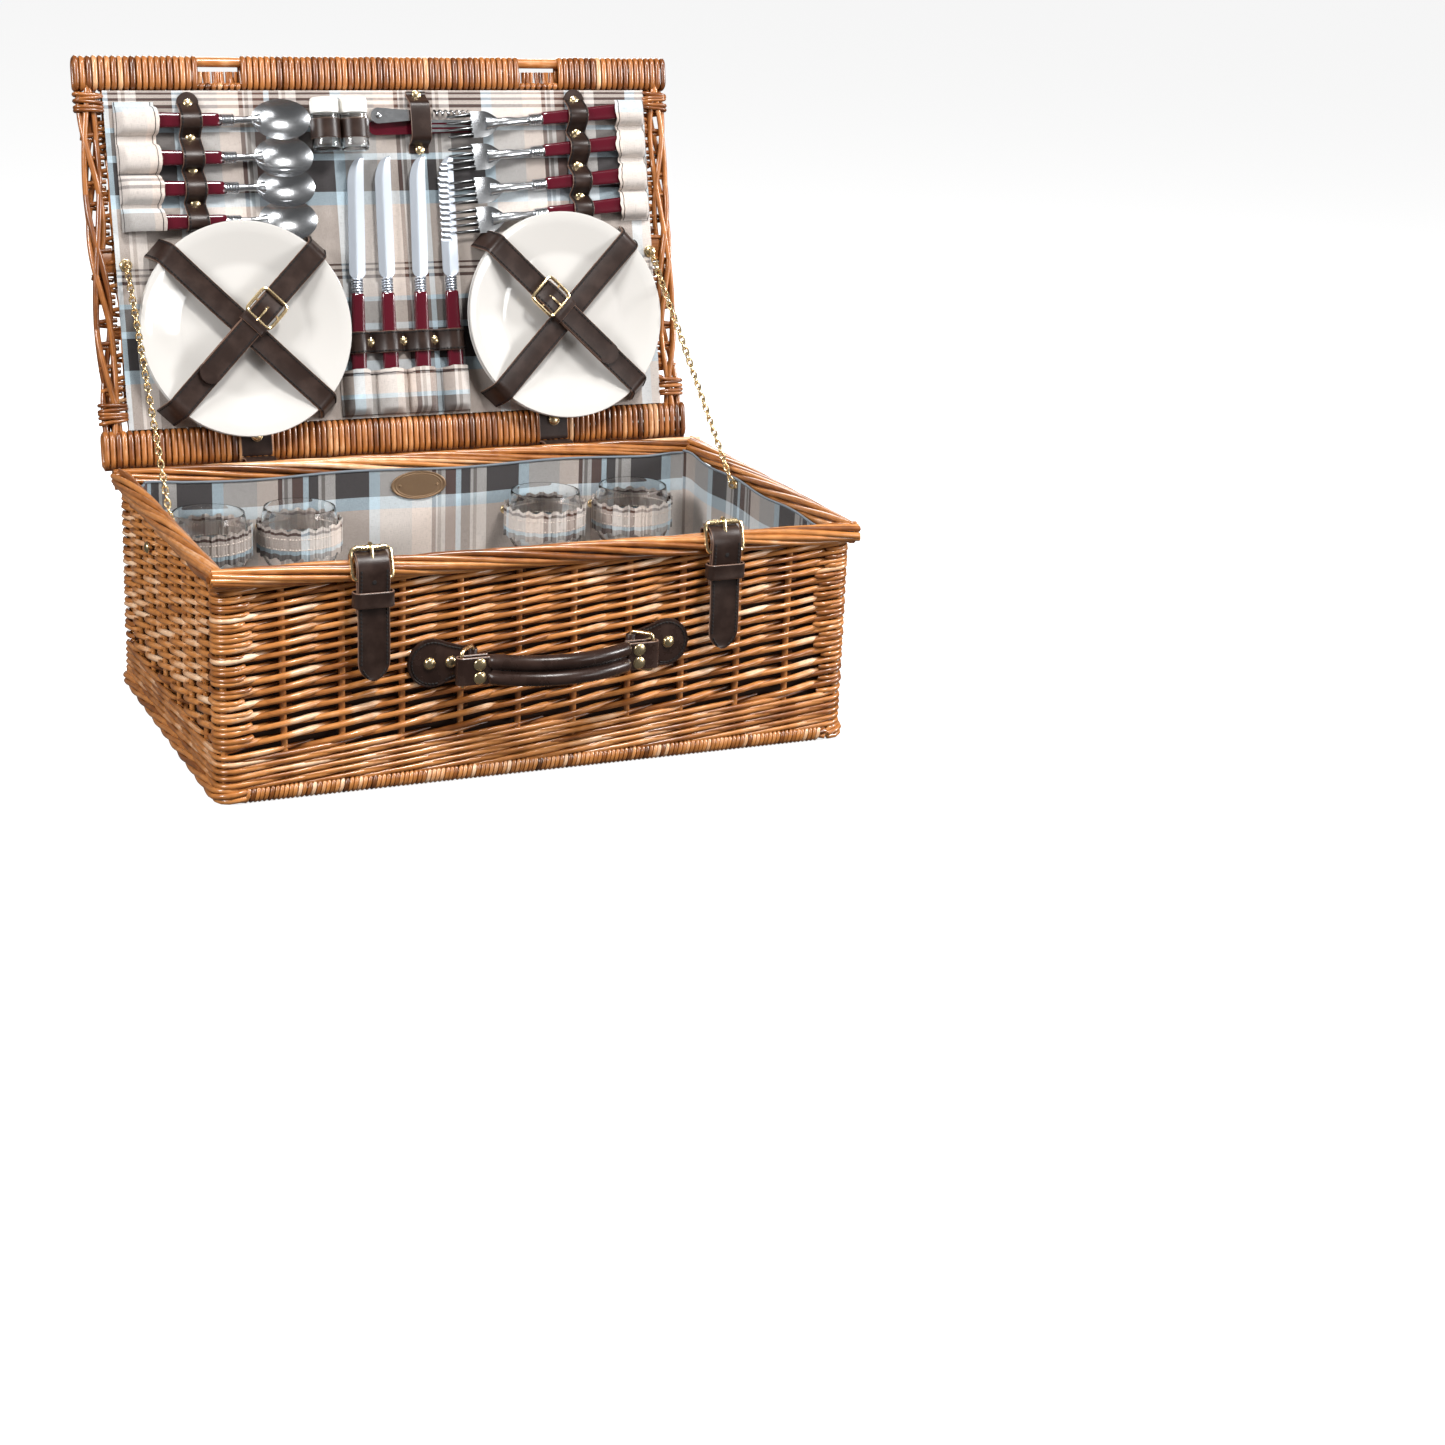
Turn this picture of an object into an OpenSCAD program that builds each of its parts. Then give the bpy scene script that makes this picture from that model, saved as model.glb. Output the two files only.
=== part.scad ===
// Wicker picnic basket with a fitted lid, modelled open as it stands on a table.
// Millimetres. X runs across the front, Y from front to back, Z up.
// The origin is the centre of the base's underside.

/* [Basket] */
// Width across the rim border
basket_w = 560; // [500:5:600]
// Depth across the rim border, front to back
basket_d = 352; // [320:2:380]
// Height of the rim border's top above the ground
basket_h = 193; // [180:1:210]
// Thickness of the woven walls
wall_t = 10; // [8:1:12]
// Height of the wrapped border round the foot
foot_h = 13; // [10:1:16]

/* [Rim] */
// Width of the rim border, seen from above
rim_w = 18; // [16:1:20]
// Height of the rim border
rim_h = 20; // [18:1:22]

/* [Lid] */
// Thickness of the lid's wrapped borders
lid_t = 18; // [16:1:20]
// Angle that the open lid leans back past upright
lid_lean = 13.5; // [12:0.5:15]
// Width of the slots in the front border that the closing straps pass through
slot_w = 34; // [30:1:38]

/* [Leather] */
// Distance of the closing straps from the centre line
strap_x = 150; // [140:1:155]
// Width of the closing straps
strap_w = 28; // [24:1:30]
// Distance of the hinge straps from the centre line
hinge_strap_x = 142; // [130:1:148]
// Thickness of the leather
leather_t = 2.2; // [1.8:0.1:2.4]

/* [Handle] */
// Distance of each ring's inner bar from the handle's middle
ring_pivot_x = 68; // [64:1:72]
// Distance between the inner and outer bars of a ring
ring_len = 20; // [18:0.5:22]
// Angle of the rings from the wall at rest
ring_angle = 45; // [40:1:50]
// Outward bow of the grip
grip_bow = 20; // [14:1:24]
// Diameter of each of the grip's two rolled tubes
grip_d = 12; // [11:0.5:13]

/* [Tableware] */
// Diameter of the plates
plate_d = 190; // [180:1:192]
// Height of the wine glasses
glass_h = 150; // [140:1:152]
// Diameter of a wine glass at its belly
glass_d = 70; // [66:1:76]

/* [Hidden] */
$fn = 48;

gap = 0.2;                                  // air between touching pieces
willow = "peru";
leather = "#2b1d18";
brass_colour = "#d8b45a";
steel_colour = "silver";
burgundy = "#4a1420";
plaid = "#7d7f82";

// Basket walls
half_w = basket_w / 2;
half_d = basket_d / 2;
wall_x = half_w - 7;                        // outer face of the side walls
wall_y = half_d - 7;                        // outer face of the front and back walls
foot_x = half_w - 3;
foot_y = half_d - 4.5;
post_r = 6.5;
wall_top = basket_h - rim_h - gap;
lining_t = 1.8;
floor_z = 12;                               // top of the lining on the base
lining_x = half_w - rim_w - 0.3;            // outer face of the side lining
lining_y = half_d - rim_w - 0.4;
lining_top = basket_h - 9;

// Lid, in its own frame: x across, y up the lid from its rear edge, z out of its inner face
lid_len = basket_d;
lid_foot_y = half_d + 20;                   // lower inner edge of the open lid
lid_foot_z = basket_h - 1.5;
border_w = 28;                              // rear border, along the lid
front_edge = 320.5;                         // where the front border starts
slot_rod_r = 4.5;                           // bare rod along the outer side of a strap slot
weave_x = 254;
lining_n = -3.8;                            // face of the lid's lining
fit_n = lining_n + gap;                     // back of whatever lies on the lining
hinge_reach = 28;                           // length of the hinge straps along the lid

// Closing straps
closure_y = -half_d - gap;                  // inner face of the strap in front of the rim
layer = leather_t + gap;
keeper_z = 156;
keeper_h = 13;
tail_z = 150;                               // fold line of the loose tail
tail_len = 55;

// Handle
handle_x = 1.5;
handle_z = 101;
tab_z = 103;
ring_wire = 3.4;
ring_h = 34;
ring_y = -wall_y - 5.2;
tab_t = 2.4;
end_loop_h = 23;
slot_len = 14;                              // room for the ring's bar to move inside the end loop
slot_t = 5.2;

// Stays
chain_x = 250;
chain_step = 3;                             // upper halves outside, lower halves inside
chain_r = 2.2;
lid_anchor = [235.8, 357.4];                // y, z of the stay's pin on the open lid
wall_anchor = [42, 172];                    // y, z of the stay's pin on the side wall
wall_rivet = [54.5, 152];                   // y, z of the rivet outside the side wall
stay_mid = (lid_anchor + wall_anchor) / 2;
stay_eye = 7;                               // clear length at each pin

// Wine glasses
glass_x = [-207, -126, 104, 190];
glass_y = 117;
band_z = 123;
band_h = 28;

// Cutlery, in the lid's frame
spoon_v = [294.6, 262, 235.5, 206.5];
spoon_rivet_v = [309, 280, 251.5, 223];
fork_v = [297.2, 268, 237.7, 211];
fork_rivet_v = [311, 282, 252, 224];
fork_tilt = 4.7;
fork_lift = 2.4;                            // the prongs lie over the last knife
knife_x = [-44.7, -13.6, 16.6, 48.6];       // x at the butt of each handle
knife_tilt = [3, 1.4, 2.1, 0.7];
knife_rivet_x = [-29, 2, 31.5];
spoon_strip_x = -180.5;
fork_strip_x = 183;
knife_strip_v = 95.5;
handle_r = 5.5;
handle_n = fit_n + handle_r;                // axis of the cutlery handles
strip_n = handle_n + handle_r + gap;        // underside of the strips over the handles
strip_t = 1.6;
strip_w = 19;
rivet_r = 4;

// Plates, in the lid's frame
plate_at = [[-147, 111], [155, 113]];
plate_pitch = 5.6;
plate_lift = 1.4;                           // plates stand clear of the hinge straps
plate_strap_n = 19.7;
plate_strap_t = 1.8;
plate_strap_w = 19;
buckle_out = 24;                            // buckle's distance from the plate's centre

// Shakers and corkscrew, in the lid's frame
jar_x = [-60.5, -34];
jar_r = 12.6;
jar_v = 265.6;
jar_len = 33;
cap_len = 14;
jar_n = fit_n + jar_r;
corkscrew_v = 281;
corkscrew_x = [-18, 50];
corkscrew_tail = [85, 12, 5.2];             // right end, width and thickness of its slim end, under the fork
worm_r = 2.6;
spoon_lean = 12;                            // bowls lean so that each lies over the next

module in_lid()
    translate([0, lid_foot_y, lid_foot_z])
        rotate([90 - lid_lean, 0, 0])
            children();

module block(low, high)
    translate(low)
        cube(high - low);

module rounded_rect(w, d, r) {
    square([w - 2 * r, d], center = true);
    square([w, d - 2 * r], center = true);
    for (x = [-1, 1], y = [-1, 1])
        translate([x * (w / 2 - r), y * (d / 2 - r)])
            circle(r);
}

module ring_border(w, d, r, width, h)
    linear_extrude(h)
        difference() {
            rounded_rect(w, d, r);
            square([w - 2 * width, d - 2 * width], center = true);
        }

function ellipse(a, b, n = 24) = [for (i = [0:n - 1]) [a * cos(i * 360 / n), b * sin(i * 360 / n)]];

// Bar between two points of a plane at constant x
module bar_yz(x, from, to, r) {
    along = to - from;
    translate([x, from.x, from.y])
        rotate([-atan2(along.x, along.y), 0, 0])
            cylinder(h = norm(along), r = r);
}

// ---------------------------------------------------------------- basket
module base_panel()
    color(willow)
        block([-foot_x + wall_t + gap, -foot_y + wall_t + gap, 0],
              [foot_x - wall_t - gap, foot_y - wall_t - gap, floor_z - lining_t - gap]);

module foot_border()
    color(willow)
        ring_border(2 * foot_x, 2 * foot_y, 16, wall_t, foot_h);

module long_wall(side)
    color(willow)
        block([-lining_x + 2, side > 0 ? wall_y - wall_t : -wall_y, foot_h + gap],
              [lining_x - 2, side > 0 ? wall_y : -wall_y + wall_t, wall_top]);

module short_wall(side)
    color(willow)
        block([side > 0 ? wall_x - wall_t : -wall_x, -lining_y + 2, foot_h + gap],
              [side > 0 ? wall_x : -wall_x + wall_t, lining_y - 2, wall_top]);

module front_wall() long_wall(-1);
module back_wall() long_wall(1);
module left_wall() short_wall(-1);
module right_wall() short_wall(1);

module corner_posts()
    color(willow)
        for (x = [-1, 1], y = [-1, 1])
            translate([x * (wall_x - post_r), y * (wall_y - post_r), foot_h + gap])
                cylinder(h = wall_top - foot_h - gap, r = post_r);

module rim_border()
    color(willow)
        translate([0, 0, basket_h - rim_h])
            ring_border(basket_w, basket_d, 20, rim_w, rim_h);

module basket_lining()
    color(plaid) {
        for (y = [-lining_y, lining_y - lining_t])
            block([-lining_x + lining_t + gap, y, floor_z + gap],
                  [lining_x - lining_t - gap, y + lining_t, lining_top]);
        for (x = [-lining_x, lining_x - lining_t])
            block([x, -lining_y, floor_z + gap], [x + lining_t, lining_y, lining_top]);
        block([-lining_x, -lining_y, floor_z - lining_t], [lining_x, lining_y, floor_z]);
    }

module name_plate()
    color(brass_colour)
        translate([-4.5, lining_y - lining_t - gap, 165])
            rotate([90, 0, 0])
                linear_extrude(1.2)
                    polygon(ellipse(26, 13));

// ---------------------------------------------------------------- wine glasses
module wine_glass(i) {
    belly = glass_d / 2;
    mouth = belly - 4;
    bowl_z = glass_h - 66;
    color("lightcyan", 0.4)
        translate([glass_x[i], glass_y, floor_z + gap])
            rotate_extrude()
                polygon([
                    [0, 0], [33, 0], [33, 1.6], [8, 4], [3.6, 10], [3.6, bowl_z - 8], [7, bowl_z],
                    [22, bowl_z + 5], [31, bowl_z + 15], [belly, bowl_z + 32], [belly - 0.5, bowl_z + 44],
                    [mouth, glass_h], [mouth - 1.6, glass_h], [belly - 2.1, bowl_z + 44],
                    [belly - 1.6, bowl_z + 32], [29.6, bowl_z + 16], [21, bowl_z + 7], [0, bowl_z + 3]
                ]);
}
module wine_glass_1() wine_glass(0);
module wine_glass_2() wine_glass(1);
module wine_glass_3() wine_glass(2);
module wine_glass_4() wine_glass(3);

module glass_bands()
    color(plaid)
        for (x = glass_x)
            translate([x, glass_y, band_z])
                difference() {
                    cylinder(h = band_h, r = glass_d / 2 + 1.9);
                    translate([0, 0, -1])
                        cylinder(h = band_h + 2, r = glass_d / 2 + gap);
                }

// ---------------------------------------------------------------- stays and hinges
module stay_pins(x, yz)
    translate([x, yz.x, yz.y])
        rotate([0, 90, 0])
            cylinder(h = 2 * chain_step + 2 * chain_r, r = 2, center = true);

module stay_anchors()
    color(brass_colour)
        for (side = [-1, 1]) {
            stay_pins(side * (chain_x + 1), wall_anchor);
            translate([side * (lining_x - lining_t - 2.2), wall_anchor.x, wall_anchor.y])
                rotate([0, 90, 0])
                    cylinder(h = 4.2, r = 7, center = true);
        }

module lid_stay_anchors()
    color(brass_colour)
        for (side = [-1, 1]) {
            stay_pins(side * (chain_x + 1), lid_anchor);
            in_lid()
                block([side * chain_x - 4, 168, fit_n], [side * chain_x + 4, 176, 3]);
        }

module chain_half(side, offset, from, to)
    color(brass_colour) {
        along = (to - from) / norm(to - from);
        bar_yz(side * (chain_x + offset), from + along * stay_eye, to, chain_r);
    }

module chain_upper_left() chain_half(-1, chain_step, lid_anchor, stay_mid);
module chain_upper_right() chain_half(1, chain_step, lid_anchor, stay_mid);
module chain_lower_left() chain_half(-1, -chain_step, wall_anchor, stay_mid);
module chain_lower_right() chain_half(1, -chain_step, wall_anchor, stay_mid);

module hinge_rim_straps()
    color(leather)
        for (x = [-hinge_strap_x, hinge_strap_x])
            block([x - strap_w / 2, half_d + gap, basket_h - 43],
                  [x + strap_w / 2, half_d + layer, basket_h - 1]);

module hinge_lid_straps()
    color(leather)
        in_lid()
            for (x = [-hinge_strap_x, hinge_strap_x])
                translate([x + strap_w / 2, 0, 0])
                    rotate([0, -90, 0])
                        linear_extrude(strap_w)
                            difference() {
                                translate([-lid_t - 1.8, -1.8])
                                    square([lid_t + 3.6, hinge_reach]);
                                translate([-lid_t - gap, -gap])
                                    square([lid_t + 2 * gap, hinge_reach]);
                            }

module hinge_studs()
    color(brass_colour)
        in_lid()
            for (x = [-hinge_strap_x, hinge_strap_x])
                translate([x, hinge_reach - 10, 2])
                    cylinder(h = 2.4, r = 5);

// ---------------------------------------------------------------- closing straps
// Side outline of a strap folded over the rim, extruded across the strap's width
module over_rim(x, w, points)
    translate([x - w / 2, 0, 0])
        rotate([90, 0, 90])
            linear_extrude(w)
                polygon(points);

module closure_loops()
    color(leather)
        for (x = [-strap_x, strap_x]) {
            top = basket_h + gap;
            inner = -half_d + rim_w + gap;
            over_rim(x, strap_w, [
                [closure_y, keeper_z - 6], [closure_y - leather_t, keeper_z - 6],
                [closure_y - leather_t, top + leather_t], [inner + leather_t + 1, top + leather_t],
                [inner + leather_t + 1, basket_h - 8], [inner + 1, basket_h - 8],
                [inner + 1, top], [closure_y, top]
            ]);
            outer = closure_y - layer;
            over_rim(x, strap_w - 2, [
                [outer, tail_z + 1.8], [outer - leather_t, tail_z + 1.8],
                [outer - leather_t, top + layer + leather_t], [-half_d + 12, top + layer + leather_t],
                [-half_d + 12, top + layer], [outer, top + layer]
            ]);
        }

module buckle_frame(w, h, wire, t)
    linear_extrude(t) {
        difference() {
            square([w, h], center = true);
            square([w - 2 * wire, h - 2 * wire], center = true);
        }
        square([wire, h - wire], center = true);
    }

module closure_buckles()
    color(brass_colour)
        for (x = [-strap_x, strap_x])
            translate([x, -half_d + 7, basket_h + 2 * layer + 2 * gap])
                buckle_frame(34, 20, 2.6, 2.4);

module closure_keepers()
    color(leather)
        for (x = [-strap_x, strap_x])
            translate([x, 0, keeper_z])
                difference() {
                    block([-strap_w / 2 - 2.4, closure_y - 2 * layer - 2, 0],
                          [strap_w / 2 + 2.4, closure_y + gap + 2.4, keeper_h]);
                    block([-strap_w / 2 - 0.4, closure_y - 2 * layer, -1],
                          [strap_w / 2 + 0.4, closure_y + gap, keeper_h + 1]);
                }

module strap_tail(x)
    color(leather)
        translate([x, closure_y - layer, 0])
            rotate([90, 0, 0])
                linear_extrude(leather_t)
                    polygon([
                        [-strap_w / 2 + 1, tail_z], [strap_w / 2 - 1, tail_z],
                        [strap_w / 2 - 1, tail_z - tail_len + 9], [5, tail_z - tail_len],
                        [-5, tail_z - tail_len], [-strap_w / 2 + 1, tail_z - tail_len + 9]
                    ]);
module strap_tail_left() strap_tail(-strap_x);
module strap_tail_right() strap_tail(strap_x);

// ---------------------------------------------------------------- handle
// One end's leather tab, folded round the ring's inner bar
module handle_tab() {
    fold_r = ring_wire / 2 + 0.1;
    difference() {
        union() {
            translate([0, -wall_y - gap, 0])
                rotate([90, 0, 0])
                    linear_extrude(tab_t) {
                        translate([ring_pivot_x + 33, tab_z])
                            circle(20);
                        polygon([[ring_pivot_x, tab_z - 11], [ring_pivot_x + 24, tab_z - 17],
                                 [ring_pivot_x + 24, tab_z + 17], [ring_pivot_x, tab_z + 11]]);
                    }
            translate([ring_pivot_x, ring_y, tab_z - 11])
                cylinder(h = 22, r = fold_r + 2.1);
        }
        translate([ring_pivot_x, ring_y, tab_z - 12])
            cylinder(h = 24, r = fold_r);
    }
}

module handle_tabs()
    color(leather)
        for (side = [0, 1])
            translate([handle_x, 0, 0])
                mirror([side, 0, 0])
                    handle_tab();

module basket_rivets()
    color(brass_colour) {
        for (side = [-1, 1], x = [85, 103])
            translate([handle_x + side * x, -wall_y - gap - tab_t, tab_z])
                rotate([90, 0, 0])
                    cylinder(h = 2.6, r = rivet_r);
        for (side = [-1, 1])
            translate([side * (wall_x + gap), wall_rivet.x, wall_rivet.y])
                rotate([0, side * 90, 0])
                    cylinder(h = 3, r = 5);
    }

// A ring at its place on the right, with its outer bar turned out from the wall
module handle_ring(side)
    color(brass_colour)
        translate([handle_x + side * ring_pivot_x, ring_y, handle_z])
            rotate([0, 0, side > 0 ? -ring_angle : 180 + ring_angle]) {
                for (x = [0, ring_len])
                    translate([x, 0, 0])
                        cylinder(h = ring_h, r = ring_wire / 2, center = true);
                for (z = [-1, 1])
                    translate([0, 0, z * (ring_h - ring_wire) / 2])
                        rotate([0, 90, 0])
                            cylinder(h = ring_len, r = ring_wire / 2);
            }
module handle_ring_left() handle_ring(-1);
module handle_ring_right() handle_ring(1);

bar_x = ring_pivot_x + ring_len * cos(ring_angle);
bar_y = ring_y - ring_len * sin(ring_angle);
loop_end_x = bar_x - slot_len - 8;          // where the end loop joins the grip

module end_loop() {
    outer = slot_t / 2 + leather_t;
    difference() {
        union() {
            translate([bar_x, bar_y, 0])
                cylinder(h = end_loop_h, r = outer, center = true);
            translate([(bar_x + loop_end_x) / 2, bar_y, 0])
                cube([bar_x - loop_end_x, 2 * outer, end_loop_h], center = true);
        }
        translate([bar_x - slot_len / 2 + 2, bar_y, 0])
            cube([slot_len - 4, slot_t, end_loop_h + 2], center = true);
        for (x = [bar_x, bar_x - slot_len + 4])
            translate([x, bar_y, 0])
                cylinder(h = end_loop_h + 2, r = slot_t / 2, center = true);
    }
}

module handle_end_loops()
    color(leather)
        translate([handle_x, 0, handle_z - 1])
            for (side = [0, 1])
                mirror([side, 0, 0])
                    end_loop();

module handle_rivets()
    color(brass_colour)
        for (side = [-1, 1], z = [-5.5, 5.5])
            translate([handle_x + side * (loop_end_x + 4.6), bar_y - slot_t / 2 - leather_t - gap,
                       handle_z - 1 + z])
                rotate([90, 0, 0])
                    cylinder(h = 1.8, r = 4.2);

// Two rolled tubes, one above the other, bowed outwards on one arc
grip_half = loop_end_x - gap;
grip_arc_r = (grip_half * grip_half + grip_bow * grip_bow) / (2 * grip_bow);
grip_arc_a = asin(grip_half / grip_arc_r) + 3;

module handle_grip()
    color(leather)
        translate([handle_x, bar_y, handle_z - 1])
            intersection() {
                for (z = [-1, 1])
                    translate([0, grip_arc_r - grip_bow, z * (grip_d / 2 - 0.4)])
                        rotate([0, 0, -90 - grip_arc_a])
                            rotate_extrude(angle = 2 * grip_arc_a)
                                translate([grip_arc_r, 0])
                                    circle(grip_d / 2);
                cube([2 * grip_half, 4 * grip_bow, 4 * grip_d], center = true);
            }

// ---------------------------------------------------------------- lid
module lid_weave()
    color(willow)
        in_lid()
            block([-weave_x, border_w + gap, -14], [weave_x, front_edge - gap, lining_n - 2.4]);

module lid_rear_border()
    color(willow)
        in_lid()
            block([-half_w, 0, -lid_t], [half_w, border_w, 0]);

module lid_front_border()
    color(willow)
        in_lid() {
            slot_l = -strap_x;
            slot_r = strap_x;
            outer = slot_w / 2;
            block([-half_w, front_edge, -lid_t], [slot_l - outer, lid_len, 0]);
            block([slot_l + outer, front_edge, -lid_t], [slot_r - outer, lid_len, 0]);
            block([slot_r + outer, front_edge, -lid_t], [half_w, lid_len, 0]);
            for (x = [slot_l, slot_r]) {
                block([x - outer + gap, front_edge, -lid_t + 1], [x + outer - gap, front_edge + 7.5, -1]);
                translate([x - outer + gap, lid_len - slot_rod_r - 1, -lid_t / 2])
                    rotate([0, 90, 0])
                        cylinder(h = slot_w - 2 * gap, r = slot_rod_r);
            }
        }

module lid_side_sticks()
    color(willow)
        in_lid()
            for (side = [-1, 1], x = [260, 275])
                translate([side * x, border_w + gap, -lid_t / 2])
                    rotate([-90, 0, 0])
                        cylinder(h = front_edge - border_w - 2 * gap, r = 4.6);

module lid_slat()
    color("tan")
        in_lid()
            block([-weave_x, 162, -17.4], [weave_x, 185, -14 - gap]);

module lid_lining()
    color(plaid)
        in_lid()
            block([-weave_x, border_w + gap, lining_n - 2.2], [weave_x, front_edge - gap, lining_n]);

// ---------------------------------------------------------------- cutlery
module strip_posts(points)
    for (p = points)
        translate([p.x, p.y, fit_n])
            cylinder(h = strip_n - fit_n, r = 2.6);

module cutlery_strips()
    color(leather)
        in_lid() {
            for (strip = [[spoon_strip_x, spoon_rivet_v, 199], [fork_strip_x, fork_rivet_v, 203]]) {
                block([strip[0] - strip_w / 2, strip[2], strip_n],
                      [strip[0] + strip_w / 2, 318, strip_n + strip_t]);
                strip_posts([for (v = strip[1]) [strip[0], v]]);
            }
            block([-53, knife_strip_v - strip_w / 2, strip_n],
                  [62, knife_strip_v + strip_w / 2, strip_n + strip_t]);
            strip_posts([for (x = knife_rivet_x) [x, knife_strip_v]]);
        }

module strip_rivets()
    color(brass_colour)
        in_lid()
            for (p = concat([for (v = spoon_rivet_v) [spoon_strip_x, v]],
                            [for (v = fork_rivet_v) [fork_strip_x, v]],
                            [for (x = knife_rivet_x) [x, knife_strip_v]]))
                translate([p.x, p.y, strip_n + strip_t + gap])
                    cylinder(h = 1.8, r = rivet_r);

// A shallow pocket open along one edge, which "open_side" names by its direction
module pocket(low, high, open_side)
    difference() {
        block([low.x, low.y, fit_n], [high.x, high.y, strip_n + 1.6]);
        block([low.x + 1.6 + min(open_side.x, 0) * 4, low.y + 1.6, fit_n - 1],
              [high.x - 1.6 + max(open_side.x, 0) * 4, high.y - 1.6 + open_side.y * 4, strip_n]);
    }

module cutlery_pockets()
    color(plaid)
        in_lid() {
            pocket([-246, 199], [-209, 311], [1, 0]);
            pocket([221, 200], [252, 311], [-1, 0]);
            pocket([-60, 29], [62, 71], [0, 1]);
        }

module grip_bar(x, v, turn, length)
    translate([x, v, handle_n])
        rotate([0, 0, turn])
            rotate([0, 90, 0])
                cylinder(h = length, r = handle_r);

// Steel end of a piece of cutlery: a ferrule and neck, then the working end as its own outline
module steel_end(x, v, turn, neck, lean = 0, lift = 0)
    translate([x, v, handle_n])
        rotate([0, 0, turn]) {
            rotate([0, 90, 0])
                cylinder(h = 13, r = handle_r - 0.2);
            translate([12, 0, 0])
                rotate([0, 90, 0])
                    cylinder(h = neck, r = 2);
            translate([12 + neck, 0, 0])
                rotate([lean, 0, 0])
                    translate([0, 0, lift - 1])
                        linear_extrude(2)
                            children();
        }

module spoon_handles()
    color(burgundy)
        in_lid()
            for (v = spoon_v)
                grip_bar(-241, v, 0, 86.3);

module spoons()
    color(steel_colour)
        in_lid()
            for (v = spoon_v)
                steel_end(-154.5, v, 0, 15.5, -spoon_lean)
                    translate([26, 0])
                        polygon(ellipse(27.5, 17.5));

module fork_place(v)
    in_lid()
        translate([fork_strip_x, v, 0])
            rotate([0, 0, fork_tilt])
                children();

module fork_handles()
    color(burgundy)
        for (v = fork_v)
            fork_place(v)
                grip_bar(-35, 0, 0, 101);

module forks()
    color(steel_colour)
        for (v = fork_v)
            fork_place(v)
                steel_end(-35.2, 0, 180, 38, lift = fork_lift) {
                    translate([8, 0])
                        polygon(ellipse(11, 10.5));
                    for (tine = [-1.5:1:1.5])
                        translate([12, tine * 6 - 1.2])
                            square([32, 2.4]);
                }

module knife_place(i)
    in_lid()
        translate([knife_x[i], 45, 0])
            rotate([0, 0, 90 - knife_tilt[i]])
                children();

module knife_handles()
    color(burgundy)
        for (i = [0:3])
            knife_place(i)
                grip_bar(-10, 0, 0, 105);

module knives()
    color(steel_colour)
        for (i = [0:3])
            knife_place(i)
                steel_end(95.2, 0, 0, 3)
                    polygon([[-1, -8], [88, -8], [100, -4], [107, 4], [107, 8], [-1, 8]]);

// ---------------------------------------------------------------- plates
module plate() {
    r = plate_d / 2;
    rotate_extrude()
        polygon([
            [0, 1], [50, 1], [54, 0], [58, 0], [60, 2], [80, 7.5], [r, 13.5], [r, 15.2],
            [r - 2, 15.8], [78, 10.5], [60, 5.2], [0, 4.2]
        ]);
}

module plate_pair(at)
    color("white")
        in_lid()
            for (i = [0, 1])
                translate([at.x, at.y, fit_n + plate_lift + i * plate_pitch])
                    plate();
module plates_left() plate_pair(plate_at[0]);
module plates_right() plate_pair(plate_at[1]);

// Side outline of a strap lying over the rims and down to the lining at both ends
module plate_strap(turn, n) {
    reach = plate_d / 2 + 1.2;
    foot = reach + 7;
    t = plate_strap_t;
    rotate([0, 0, turn])
        translate([0, plate_strap_w / 2, 0])
            rotate([90, 0, 0])
                linear_extrude(plate_strap_w)
                    polygon([
                        [-foot, fit_n], [-foot + t + 1, fit_n], [-reach, n], [reach, n],
                        [foot - t - 1, fit_n], [foot, fit_n], [reach + 1, n + t], [-reach - 1, n + t]
                    ]);
}

module plate_straps()
    color(leather)
        in_lid()
            for (i = [0, 1])
                translate([plate_at[i].x, plate_at[i].y, 0]) {
                    plate_strap(i == 0 ? -45 : 45, plate_strap_n);
                    plate_strap(i == 0 ? 45 : -45, plate_strap_n + plate_strap_t + gap);
                }

module plate_buckles()
    color(brass_colour)
        in_lid()
            for (i = [0, 1])
                translate([plate_at[i].x, plate_at[i].y, plate_strap_n + 2 * plate_strap_t + 2 * gap])
                    rotate([0, 0, i == 0 ? 45 : 135])
                        translate([buckle_out, 0, 0])
                            buckle_frame(22, 27, 2.2, 1.9);

// ---------------------------------------------------------------- shakers and corkscrew
module along_lid(x, v, r, length)
    translate([x, v, jar_n])
        rotate([-90, 0, 0])
            cylinder(h = length, r = r);

module shaker_jars()
    color("lightcyan", 0.5)
        in_lid()
            for (x = jar_x)
                along_lid(x, jar_v, jar_r, jar_len);

module shaker_caps()
    color("white")
        in_lid()
            for (x = jar_x)
                along_lid(x, jar_v + jar_len + gap, jar_r, cap_len);

// A leather band over what it holds, with a leg down to the lining at each end
module tool_loop(low, high, n, leg)
    difference() {
        block([low.x, low.y, fit_n], [high.x, high.y, n + 1.6]);
        block([low.x + leg.x, low.y + leg.y, fit_n - 1], [high.x - leg.x, high.y - leg.y, n]);
    }

module tool_loops()
    color(leather)
        in_lid() {
            tool_loop([-75, jar_v + 12], [-19.5, jar_v + 22], jar_n + jar_r + gap, [1.6, -1]);
            tool_loop([19, 268], [40, 318], handle_n + 6.5, [-1, 6]);
        }

module corkscrew_body()
    color(burgundy)
        in_lid() {
            block([corkscrew_x[0], corkscrew_v, fit_n], [corkscrew_x[1], corkscrew_v + 15, fit_n + 11]);
            block([corkscrew_x[1] - 2, corkscrew_v, fit_n],
                  [corkscrew_tail[0], corkscrew_v + corkscrew_tail[1], fit_n + corkscrew_tail[2]]);
        }

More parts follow.
